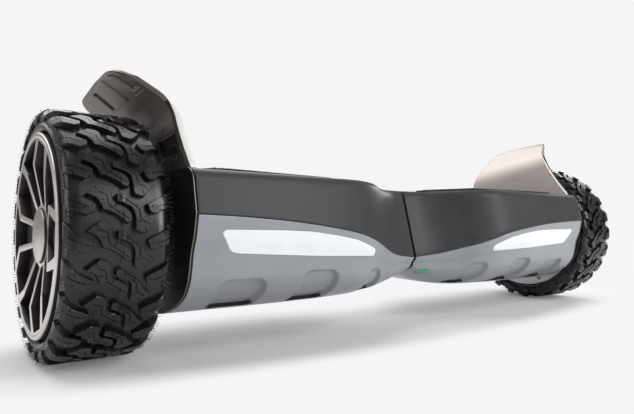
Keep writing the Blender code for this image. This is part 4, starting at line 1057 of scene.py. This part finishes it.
def fender_sheet(name, us, ss, depths_at, edge, margin, slot=None):
    """Closed folded sheet with rounded rims; depths_at gives its back and front depths."""
    low = us[0]
    high = us[-1]

    def rim(w):
        return edge * max(abs(w - 0.5) - 0.22, 0.0) * 3.0

    rows = [(low + rim(w), w) for w in (0.5, 0.72, 0.93, 1.0)]
    rows += [(u, 1.0) for u in us[1:-1]]
    rows += [(high - rim(w), w) for w in (1.0, 0.93, 0.72, 0.5, 0.28, 0.07, 0.0)]
    rows += [(u, 0.0) for u in reversed(us[1:-1])]
    rows += [(low + rim(w), w) for w in (0.0, 0.07, 0.28, 0.5)]
    tip = ss[-1]
    columns = [(ss[0], 1.0)] + [(s, 0.0) for s in ss[:-1]]
    columns += [(tip - edge * 1.2, 0.0), (tip - edge * 0.4, 0.14), (tip, 0.45), (tip, 1.0)]

    def rule(column, row):
        s, pinch = column
        u, w = row
        u = margin(s) + (1.0 - 2.0 * margin(s)) * u
        back, front = depths_at(u, s)
        return tuple(fender_place(u, s, mix(back, front, mix(w, 0.5, pinch))))

    return grid_sheet(name, columns, rows, rule, slot)


def relief_of(fields, u, s):
    """Height of the highest field at a point; each falls smoothly to 0 at its border."""
    best = 0.0
    for height, left, right, low, high, u_soft, s_soft, slant in fields:
        top = high + slant * (u - left)
        k = step_up(u, left, left + u_soft)
        k *= 1.0 - step_up(u, right - u_soft, right)
        k *= step_up(s, low, low + s_soft)
        k *= 1.0 - step_up(s, top - s_soft, top)
        best = max(best, height * k)
    return best


def liner_relief(u, s):
    """Raised pads and rings and sunk pockets on the liner's face towards the wheel."""
    ring = math.hypot((u - 0.19) / 0.055, (s - 1.12) / 0.17)
    ridge = 0.0007 * (step_up(ring, 0.84, 0.94) - step_up(ring, 0.96, 1.06))
    ring = math.hypot((u - 0.09) / 0.045, (s - 0.36) / 0.17)
    boss = 0.0008 * (step_up(ring, 0.80, 0.92) - step_up(ring, 0.94, 1.06))
    return max(relief_of(LINER_PADS, u, s), ridge) - (relief_of(LINER_POCKETS, u, s) - boss)


def roof_margin(s):
    return 0.0225 * step_up(s, 1.1, 1.9)


def build_fender_skin():
    """Brushed sheet on the deck's end, inside the liner's rim on the roof, with a pale painted
    highlight on its forward-facing edge.
    """
    back = -(SKIN_THICK + FIT)

    def depths(u, s):
        return back, back + mix(SKIN_THICK, ROOF_SKIN_THICK, rise(s, 1.0, 2.0))

    us = spread(0.0, 1.0, 64)
    ss = [0.0] + spread(0.01, 1.0, 10) + spread(1.06, 1.94, 15) + spread(2.0, 2.86, 10) + [2.926]
    skin = fender_sheet("fender_skin", us, ss, depths, 0.0045, roof_margin)
    move_points(skin, lambda x, y, z: (x, y, max(z, DECK_Z + FIT)))
    face_outwards(skin)
    # The sheet's forward-facing edge takes a pale painted highlight
    tint(skin, 1, lambda c, n: n.y < -0.45)
    return smooth(skin, 40.0)


def plate_outline():
    """Outline of the body's end below the fender, as (y, z)."""
    x = SHELL_END_X
    half = [upper_point(x, t) for t in spread(0.0, 0.6, 24)]
    up = [(-p.x, p.y) for p in reversed(half) if -p.x > FENDER_BASE_HALF + 1e-4]
    belly = [lower_point(x, t) for t in spread(0.0, 1.0, 48)]
    left = [(-FENDER_BASE_HALF, DECK_Z)] + [(-y, z) for y, z in up]
    right = [(FENDER_BASE_HALF, DECK_Z)] + up
    bottom = [(p.x, p.y) for p in belly] + [(-p.x, p.y) for p in reversed(belly[:-1])]
    return left + bottom + right[::-1]


def build_fender_liner():
    """Moulded liner: plate over the body's end, wall, bend and the roof's underside."""
    back = -(SKIN_THICK + FIT)

    def depths(u, s):
        roof = rise(s, 1.0, 2.0)
        start = (back + ROOF_SKIN_THICK + FIT) * roof
        front = start + mix(LINER_THICK, ROOF_LINER_THICK, roof)
        rim = 1.0 if min(u, 1.0 - u) < LINER_RIM else 0.0
        rim = max(rim * step_up(s, 1.3, 1.9), 1.0 if s > 2.945 else 0.0)
        return start - 0.8 * (ROOF_SKIN_THICK + FIT) * rim, front + liner_relief(u, s)

    def slot(column, row):
        s, u = column[0], row[0]
        # Painted shade: the deep pockets and the lower wall's rims and back go black, and the
        # wall's lower part takes a darker painted shade
        if liner_relief(u, s) < -0.0010 or (s < 1.7 and (u < 0.004 or row[1] < 1.0)):
            return 1
        return 2 if s < 0.80 else 0

    us = [0.0, 0.008, 0.0195, 0.0205] + spread(0.028, 0.972, 130) + [0.9795, 0.9805, 0.992, 1.0]
    ss = [0.0] + spread(0.01, 1.0, 44) + spread(1.06, 1.94, 15) + spread(2.0, 2.92, 40)
    ss += [2.944, 2.946, 3.0]
    folded = fender_sheet("fender_liner", us, ss, depths, 0.0030, lambda s: 0.0, slot)
    plate = slab("plate", plate_outline(), SHELL_END_X + 0.0004, FENDER_X + LINER_THICK)
    move_points(plate, lambda x, y, z: (z, x, y))
    face_outwards(plate)
    cut(plate, rod(FENDER_X - 0.01, FENDER_X + 0.02, AXLE_CLEARANCE))
    soften(plate, 0.0004, 2, 50.0)
    # Painted shade: the plate's flat faces and the ring round the axle hole go black; its edges
    # keep the liner's colour
    tint(plate, 1, lambda c, n: abs(n.x) >= 0.9 or math.hypot(c.y, c.z - AXLE_Z) <= 0.03)
    for piece in (folded, plate):
        finish(piece, LINER_FINISHES)
    return smooth(join([folded, plate], "fender_liner"), 35.0)


# Foot pads and small fittings
def build_foot_pad():
    """Ribbed rubber pad with a thin rounded edge and a boss through the deck."""
    low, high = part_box("right_foot_pad")
    base = DECK_Z + PAD_LIFT
    inner = PAD_INNER_X
    outer = PAD_OUTER_X
    outline = [(inner, -pad_half(inner)), (outer, -pad_half(outer)),
               (outer, pad_half(outer)), (inner, pad_half(inner))]
    pad = outline_face("foot_pad", rounded(outline, PAD_CORNER, 10))
    move_points(pad, lambda x, y, z: (x, y, base))
    edit(pad)
    pull_up(0.0007)
    bpy.ops.mesh.inset(thickness=0.0006, depth=0.0003)
    bpy.ops.mesh.inset(thickness=0.0060, depth=0.0004)
    done()
    pieces = [face_outwards(pad)]
    rib_x = inner + RIB_INSET
    while rib_x < outer - 0.010:
        reach = pad_half(rib_x) - RIB_INSET
        ease = min(rib_x - inner, outer - rib_x) / PAD_CORNER
        if ease < 1.0:
            reach -= 0.014 * (1.0 - math.sqrt(max(1.0 - (1.0 - ease) ** 2, 0.0)))
        near = rib_x - RIB_HALF
        far = rib_x + RIB_HALF
        rib = rounded([(near, -reach), (far, -reach), (far, reach), (near, reach)], 0.0014)
        pieces.append(soften(slab("rib", rib, base + 0.0008, high.z), 0.0003, 1, 50.0))
        rib_x += RIB_STEP
    pieces.append(slab("boss", boss_outline(0.0), low.z, base + 0.0004))
    return smooth(join(pieces, "foot_pad"), 35.0)


def back_turned(name, profile, x, z):
    """A turned fitting of the back wall: along is the distance behind the board's middle."""
    piece = turned(name, profile, 64)
    move_points(piece, lambda a, b, h: (x + a, h, z + b))
    return smooth(face_outwards(piece), 35.0)


def round_place(node):
    """Middle (x, z) and radius of a round fitting, and its ends along Y."""
    low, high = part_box(node)
    middle = ((low.x + high.x) / 2, (low.z + high.z) / 2)
    return middle, (high.x - low.x) / 2, low.y, high.y


def cup(name, node):
    """Cup of a fitting with a rounded lip, in the place of its node."""
    (x, z), outer, back, lip = round_place(node)
    floor = back + 0.0022
    bore = FITTING_BORE
    return back_turned(name, [
        (back, 0.0), (back, outer), (lip - 0.0008, outer), (lip - 0.0002, outer - 0.0003),
        (lip, outer - 0.0008), (lip, bore + 0.0005), (lip - 0.0005, bore), (floor, bore),
        (floor, 0.0)], x, z)


def build_fittings():
    """Power button and charge socket with its cap, on the right half's back wall."""
    dress(cup("button_housing_ring", "button_housing"), "right_board", "button_housing",
          "socket_plastic")
    (x, z), _, _, _ = round_place("button_housing")
    _, radius, back, face = round_place("power_button")
    button = back_turned("power_button_disc", [
        (back, 0.0), (back, radius), (face - 0.0010, radius), (face - 0.0003, radius - 0.0004),
        (face, radius - 0.0011), (face, radius - 0.0022), (face - 0.0004, radius - 0.0026),
        (face - 0.0008, 0.0018), (face - 0.0009, 0.0)], x, z)
    dress(button, "button", "power_button", "satin_button")
    (x, z), _, back, _ = round_place("charge_port")
    root = back + 0.0017
    pieces = [cup("charge_socket", "charge_port")]
    for degrees in (90.0, 210.0, 330.0):
        a, b = polar(0.0036, degrees)
        pin = turned("pin", [(root, 0.0), (root, 0.0009), (root + 0.0055, 0.0009),
                             (root + 0.0061, 0.0004), (root + 0.0061, 0.0)], 16)
        face_outwards(move_points(pin, lambda p, q, h: (x + a + p, h, z + b + q)))
        pieces.append(smooth(tint(pin, 1, lambda c, n: True), 35.0))
    for piece in pieces:
        finish(piece, ("socket_plastic", "ground_steel"))
    dress(join(pieces, "charge_socket"), "right_board", "charge_port", "socket_plastic",
          "ground_steel")
    (x, _), outer, back, face = round_place("charge_port_cap")
    cap = back_turned("charge_socket_cap", [
        (back, 0.0), (back, outer - 0.0003), (back + 0.0004, outer), (face - 0.0008, outer),
        (face - 0.0002, outer - 0.0003), (face, outer - 0.0009), (face, outer - 0.0024),
        (face - 0.0005, outer - 0.0028), (face - 0.0005, 0.0)], x, z)
    dress(cap, "port_cap", "charge_port_cap", "soft_rubber")


def build_status_light(outline):
    """Small green window low on the right half's front wall."""
    x = LIGHT_PLACE[0]
    reach = LIGHT_SIZE[0] + 0.004
    light = wall_patch("status_light_window", x - reach, x + reach, 0.14, 0.80, 16, 20, 0.0002)
    cut(light, through_front("light_cutter", shrink(outline, FIT), LIGHT_NEAR), "INTERSECT")
    return smooth(face_outwards(light), 35.0)


# Materials: object coordinates, stretched noise for colour, gloss and relief
def new_material(name):
    """An empty material and its node tree."""
    mat = bpy.data.materials.new(name)
    mat.use_nodes = True
    return mat, mat.node_tree


def set_inputs(node, **values):
    """Sets a node's inputs; an underscore stands for a space in their names."""
    for name, value in values.items():
        node.inputs[name.replace("_", " ")].default_value = value
    return node


def new_node(tree, kind, **values):
    return set_inputs(tree.nodes.new("ShaderNode" + kind), **values)


def surface(name, dark, light, rough, scale=60.0, stretch=(1.0, 1.0, 1.0), metallic=0.0,
            relief=0.0, relief_scale=900.0, coat=0.0, specular=0.5, distance=0.0004, painted_glow=0.0):
    """Makes a finish whose colour, gloss and relief follow noise on the piece."""
    mat, tree = new_material(name)
    link = tree.links.new
    shader = set_inputs(tree.nodes["Principled BSDF"], Metallic=metallic, Coat_Weight=coat,
                        Specular_IOR_Level=specular, Coat_Roughness=0.12)
    place = new_node(tree, "TexCoord")
    turn = new_node(tree, "Mapping", Scale=stretch)
    link(place.outputs["Object"], turn.inputs["Vector"])
    cloud = new_node(tree, "TexNoise", Scale=scale, Detail=4.0)
    link(turn.outputs["Vector"], cloud.inputs["Vector"])
    tone = new_node(tree, "ValToRGB")
    for element, position, colour in zip(tone.color_ramp.elements, (0.32, 0.68), (dark, light)):
        element.position = position
        element.color = (*colour, 1.0)
    link(cloud.outputs["Fac"], tone.inputs["Fac"])
    link(tone.outputs["Color"], shader.inputs["Base Color"])
    gloss = new_node(tree, "MapRange", From_Min=0.3, From_Max=0.7, To_Min=rough[0],
                     To_Max=rough[1])
    link(cloud.outputs["Fac"], gloss.inputs["Value"])
    link(gloss.outputs["Result"], shader.inputs["Roughness"])
    if relief:
        grain = new_node(tree, "TexNoise", Scale=relief_scale, Detail=2.0)
        link(turn.outputs["Vector"], grain.inputs["Vector"])
        bumps = new_node(tree, "Bump", Strength=relief, Distance=distance)
        link(grain.outputs["Fac"], bumps.inputs["Height"])
        link(bumps.outputs["Normal"], shader.inputs["Normal"])
    # Painted glow: a faint emission that brightens the surface as if more light fell on it
    if painted_glow:
        set_inputs(shader, Emission_Color=(0.93, 0.96, 1.0, 1.0), Emission_Strength=painted_glow)
    MATS[name] = mat


surface("tyre_rubber", (0.007, 0.007, 0.008), (0.012, 0.012, 0.013), (0.24, 0.34), 120.0,
        relief=0.12, relief_scale=1400.0)
surface("upper_plastic", (0.05, 0.049, 0.051), (0.058, 0.057, 0.059), (0.36, 0.42), 40.0,
        relief=0.06, relief_scale=2200.0, specular=0.15)
surface("lower_plastic", (0.29, 0.302, 0.33), (0.315, 0.327, 0.355), (0.30, 0.38), 40.0,
        relief=0.08, relief_scale=2400.0, coat=0.15)
# The opal lens carries a faint painted glow
surface("opal_lens", (0.60, 0.63, 0.66), (0.64, 0.66, 0.69), (0.14, 0.20), 50.0, relief=0.03,
        coat=0.5, painted_glow=0.28)
surface("brushed_skin", (0.52, 0.455, 0.43), (0.57, 0.505, 0.48), (0.46, 0.54), 900.0,
        (1.0, 0.06, 1.0), 0.55, 0.06, 3000.0, distance=0.0001)
# Pale painted highlight for the fender sheet's forward-facing edge
surface("sheet_edge_painted_highlight", (0.78, 0.74, 0.71), (0.84, 0.80, 0.77), (0.30, 0.40), 500.0,
        relief=0.04, relief_scale=2400.0)
surface("liner_plastic", (0.15, 0.131, 0.122), (0.175, 0.153, 0.143), (0.28, 0.36),
        metallic=0.5, relief=0.10, relief_scale=1500.0, distance=0.0002)
# Darker painted shade for the lower part of the liner's wall
surface("liner_painted_shade", (0.045, 0.041, 0.039), (0.057, 0.052, 0.049), (0.24, 0.32),
        metallic=0.3, relief=0.10, relief_scale=1500.0, distance=0.0002)
# Near-black painted shade for the gaps between the covers, the dish ends and the liner's pockets,
# edges and end plate
surface("painted_shade_black", (0.005, 0.005, 0.005), (0.009, 0.009, 0.009), (0.30, 0.40), 70.0,
        relief=0.05, specular=0.35)
# Pale painted reflection of the white floor on the fillet beside each dish's end
surface("pale_painted_reflection", (0.60, 0.60, 0.60), (0.66, 0.66, 0.66), (0.30, 0.40), 80.0,
        relief=0.05)
surface("hub_paint", (0.02, 0.015, 0.014), (0.03, 0.023, 0.021), (0.40, 0.55), 70.0,
        metallic=0.2, relief=0.15, relief_scale=1200.0)
surface("motor_cover_metal", (0.50, 0.49, 0.485), (0.60, 0.59, 0.58), (0.32, 0.42), 300.0,
        (0.1, 1.0, 1.0), 0.85, 0.08, 1800.0)
surface("machined_spokes", (0.62, 0.575, 0.562), (0.68, 0.632, 0.618), (0.30, 0.36), 500.0,
        metallic=0.8, relief=0.05, relief_scale=2400.0, distance=0.0001)
surface("spoke_paint", (0.018, 0.014, 0.013), (0.026, 0.021, 0.019), (0.34, 0.46), 80.0,
        metallic=0.3, relief=0.10, relief_scale=1500.0)
surface("cap_metal", (0.52, 0.475, 0.462), (0.57, 0.525, 0.512), (0.30, 0.38), 300.0,
        (0.2, 1.0, 1.0), 0.85, 0.06, 2000.0)
surface("pad_rubber", (0.024, 0.024, 0.025), (0.034, 0.034, 0.036), (0.55, 0.70), 90.0,
        relief=0.30, relief_scale=1600.0)
surface("ground_steel", (0.45, 0.45, 0.465), (0.56, 0.56, 0.575), (0.24, 0.38), 340.0,
        (0.08, 1.0, 1.0), 1.0, 0.12, 2200.0)
surface("dark_screw_steel", (0.19, 0.19, 0.205), (0.26, 0.26, 0.275), (0.26, 0.40), 400.0,
        metallic=1.0, relief=0.10)
surface("cast_aluminium", (0.38, 0.38, 0.392), (0.48, 0.48, 0.492), (0.42, 0.60), 130.0,
        metallic=0.85, relief=0.45, relief_scale=800.0)
surface("soft_rubber", (0.02, 0.02, 0.022), (0.03, 0.03, 0.032), (0.48, 0.62), 100.0,
        relief=0.20, relief_scale=1500.0)
surface("socket_plastic", (0.022, 0.022, 0.023), (0.034, 0.034, 0.035), (0.36, 0.48), 90.0,
        relief=0.15, relief_scale=1700.0)
surface("satin_button", (0.33, 0.335, 0.345), (0.40, 0.405, 0.415), (0.26, 0.36), 300.0,
        metallic=0.85, relief=0.08)
surface("green_lens", (0.035, 0.40, 0.15), (0.06, 0.52, 0.21), (0.12, 0.22), 160.0,
        relief=0.05, coat=0.5)
surface("circuit_board", (0.01, 0.085, 0.032), (0.03, 0.16, 0.062), (0.36, 0.52), 420.0,
        relief=0.25, relief_scale=700.0)
surface("battery_wrap", (0.03, 0.085, 0.24), (0.045, 0.12, 0.31), (0.24, 0.40), relief=0.35,
        relief_scale=160.0, coat=0.2)
surface("bronze", (0.43, 0.30, 0.12), (0.56, 0.41, 0.18), (0.30, 0.46), 220.0, metallic=1.0,
        relief=0.15)
surface("copper_windings", (0.32, 0.12, 0.05), (0.56, 0.24, 0.11), (0.28, 0.44), 900.0,
        (0.12, 1.0, 1.0), 0.95, 0.50, 1500.0)

# Built-in pieces that stay as they are, by their finish: one on each side, then single ones
KEPT_PAIRS = {
    "cast_aluminium": ("chassis", "axle_clamp"),
    "ground_steel": ("axle", "magnet_ring", "wheel_bearing_1", "wheel_bearing_2"),
    "dark_screw_steel": ("clamp_screw_1", "clamp_screw_2", "motor_cover_screw_1",
                         "motor_cover_screw_2"),
    "copper_windings": ("stator",),
    "circuit_board": ("foot_switch",),
    "soft_rubber": ("motor_cable",),
    "hub_paint": ("hub_shell",),
}
KEPT_SINGLES = {
    "cast_aluminium": ("heat_sink",),
    "ground_steel": ("pivot_tube", "pivot_collar"),
    "circuit_board": ("control_board",),
    "battery_wrap": ("battery_pack",),
    "bronze": ("pivot_bush",),
}


def refinish(finish_name, nodes):
    """Gives built-in pieces their finish."""
    for node in nodes:
        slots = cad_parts[node].data.materials
        for index in range(len(slots)):
            slots[index] = MATS[finish_name]


for finish_name, nodes in KEPT_PAIRS.items():
    refinish(finish_name, [side + node for side in ("left_", "right_") for node in nodes])
for finish_name, nodes in KEPT_SINGLES.items():
    refinish(finish_name, nodes)


# All shown pieces
left_tyre = build_tyre()
right_tyre = mirrored(left_tyre, "right_tread_tyre")
dress(left_tyre, "left_wheel", "left_tyre", "tyre_rubber")
dress(right_tyre, "right_wheel", "right_tyre", "tyre_rubber")
pair(build_wheel_cover(), "spoked_cover", "wheel", "wheel_cover", "machined_spokes",
     "spoke_paint")
pair(build_hub_cap(), "axle_cap", "wheel", "hub_cap", "cap_metal", "spoke_paint")
pair(build_motor_cover(), "inner_disc", "wheel", "motor_cover", "motor_cover_metal")

window = rounded(WINDOW, WINDOW_CORNER, 3)
lower_right = build_lower_cover(window)
lower_left = mirrored(lower_right, "left_lower_shell")
lower_right.name = "right_lower_shell"
light_outline = [(LIGHT_PLACE[0] + a * LIGHT_SIZE[0], LIGHT_PLACE[1] + b * LIGHT_SIZE[1])
                 for a, b in ring_points(1.0, 40)]
cut(lower_right, through_front("light_cutter", light_outline, LIGHT_NEAR))
cut(lower_right, through_front("screw_cutter", ring_points(SCREW_HOLE, 16, SCREW_PLACE)))
for fitting in ("button_housing", "charge_port"):
    middle, radius, back, lip = round_place(fitting)
    hole = slab("fitting_cutter", ring_points(radius + FIT, 64, middle), back - 0.004,
                lip + 0.004)
    move_points(hole, lambda x, y, z: (x, z, y))
    cut(lower_right, face_outwards(hole))
for half, side in ((lower_left, "left_"), (lower_right, "right_")):
    smooth(half, 30.0)
    dress(half, side + "board", side + "lower_cover", "lower_plastic", "painted_shade_black",
          "pale_painted_reflection")
pair(smooth(build_upper_cover(), 30.0), "upper_shell", "board", "upper_cover",
     "upper_plastic", "painted_shade_black")
pair(build_lens(window), "opal_window", "board", "headlight_lens", "opal_lens")
pair(build_fender_skin(), "brushed_fender", "board", "fender_skin", "brushed_skin",
     "sheet_edge_painted_highlight")
pair(build_fender_liner(), "moulded_liner", "board", "fender_liner", *LINER_FINISHES)
pair(build_foot_pad(), "ribbed_pad", "pad", "foot_pad", "pad_rubber")
status_light = build_status_light(light_outline)
dress(status_light, "right_board", "status_light", "green_lens")
build_fittings()


# Camera and studio
def look_from(place, yaw, pitch, roll, lens):
    """The photograph's camera, turned from its yaw, pitch and roll."""
    forward = Vector((math.sin(yaw) * math.cos(pitch), math.cos(yaw) * math.cos(pitch),
                      math.sin(pitch)))
    level = Vector((math.cos(yaw), -math.sin(yaw), 0.0))
    up = level.cross(forward)
    right = level * math.cos(roll) + up * math.sin(roll)
    top = up * math.cos(roll) - level * math.sin(roll)
    deselect()
    bpy.ops.object.camera_add(location=place)
    camera = added("photo_camera")
    camera.rotation_euler = Matrix((right, top, -forward)).transposed().to_euler()
    camera.data.lens = lens
    camera.data.sensor_width = 36.0
    camera.data.clip_start = 0.01
    bpy.context.scene.camera = camera


def soft_lamp(name, place, aim, size, power):
    bpy.ops.object.light_add(type="AREA", location=place)
    lamp = added(name)
    lamp.data.shape = "RECTANGLE"
    lamp.data.size = size[0]
    lamp.data.size_y = size[1]
    lamp.data.energy = power
    lamp.visible_camera = False
    way = Vector(aim) - Vector(place)
    lamp.rotation_euler = way.to_track_quat("-Z", "Y").to_euler()


look_from((-0.4648, -0.4741, 0.1185), math.radians(37.73), math.radians(1.0),
          math.radians(0.93), 31.09)
bpy.context.scene.view_settings.view_transform = "Standard"
soft_lamp("overhead_softbox", (-0.2, 0.5, 1.9), (0.0, 0.0, 0.1), (2.4, 1.2), 22.0)
soft_lamp("front_softbox", (1.0, -1.75, 1.1), (-0.15, 0.0, 0.1), (0.9, 1.6), 34.0)
soft_lamp("left_softbox", (-1.9, 0.3, 0.7), (-0.3, 0.0, 0.1), (0.9, 0.9), 6.0)
soft_lamp("right_softbox", (1.9, 0.5, 0.5), (0.0, 0.0, 0.1), (0.8, 0.8), 9.0)
soft_lamp("back_softbox", (0.1, 1.7, 1.5), (0.0, 0.0, 0.1), (3.0, 1.6), 28.0)

BACKGROUND = (0.913, 0.913, 0.913, 1.0)


def seen_by_camera(tree, near, shown, amount=None):
    """Mixes in a look that only camera rays get."""
    link = tree.links.new
    path = new_node(tree, "LightPath")
    choice = new_node(tree, "MixShader")
    share = path.outputs["Is Camera Ray"]
    if amount:
        both = new_node(tree, "Math")
        both.operation = "MULTIPLY"
        link(share, both.inputs[0])
        link(amount, both.inputs[1])
        share = both.outputs[0]
    link(share, choice.inputs[0])
    link(near.outputs[0], choice.inputs[1])
    link(shown.outputs[0], choice.inputs[2])
    return choice.outputs[0]


def pale_floor():
    """Lit near the board, where it carries the shadow; plain background farther out."""
    deselect()
    bpy.ops.mesh.primitive_plane_add(size=12.0, location=(0.0, 0.0, 0.0))
    floor = added("studio_floor")
    mat, tree = new_material("pale_floor")
    link = tree.links.new
    shader = set_inputs(tree.nodes["Principled BSDF"], Base_Color=(0.86, 0.86, 0.86, 1.0),
                        Roughness=0.9, Specular_IOR_Level=0.0)
    place = new_node(tree, "TexCoord")
    turn = new_node(tree, "Mapping", Scale=(1.0, 4.0, 1.0))
    link(place.outputs["Object"], turn.inputs["Vector"])
    reach = new_node(tree, "VectorMath")
    reach.operation = "LENGTH"
    link(turn.outputs["Vector"], reach.inputs[0])
    far = new_node(tree, "MapRange", From_Min=0.40, To_Min=0.12, From_Max=0.57)
    far.interpolation_type = "SMOOTHSTEP"
    link(reach.outputs["Value"], far.inputs["Value"])
    plain = new_node(tree, "Emission", Color=BACKGROUND)
    mixed = seen_by_camera(tree, shader, plain, far.outputs["Result"])
    link(mixed, tree.nodes["Material Output"].inputs["Surface"])
    floor.data.materials.append(mat)


def studio_world():
    """Even light all round, and the plain background that the camera sees."""
    world = bpy.data.worlds.new("studio_world")
    bpy.context.scene.world = world
    world.use_nodes = True
    tree = world.node_tree
    lit = set_inputs(tree.nodes["Background"], Color=(1.0, 1.0, 1.0, 1.0), Strength=0.24)
    seen = new_node(tree, "Background", Color=BACKGROUND)
    mixed = seen_by_camera(tree, lit, seen)
    tree.links.new(mixed, tree.nodes["World Output"].inputs["Surface"])


pale_floor()
studio_world()
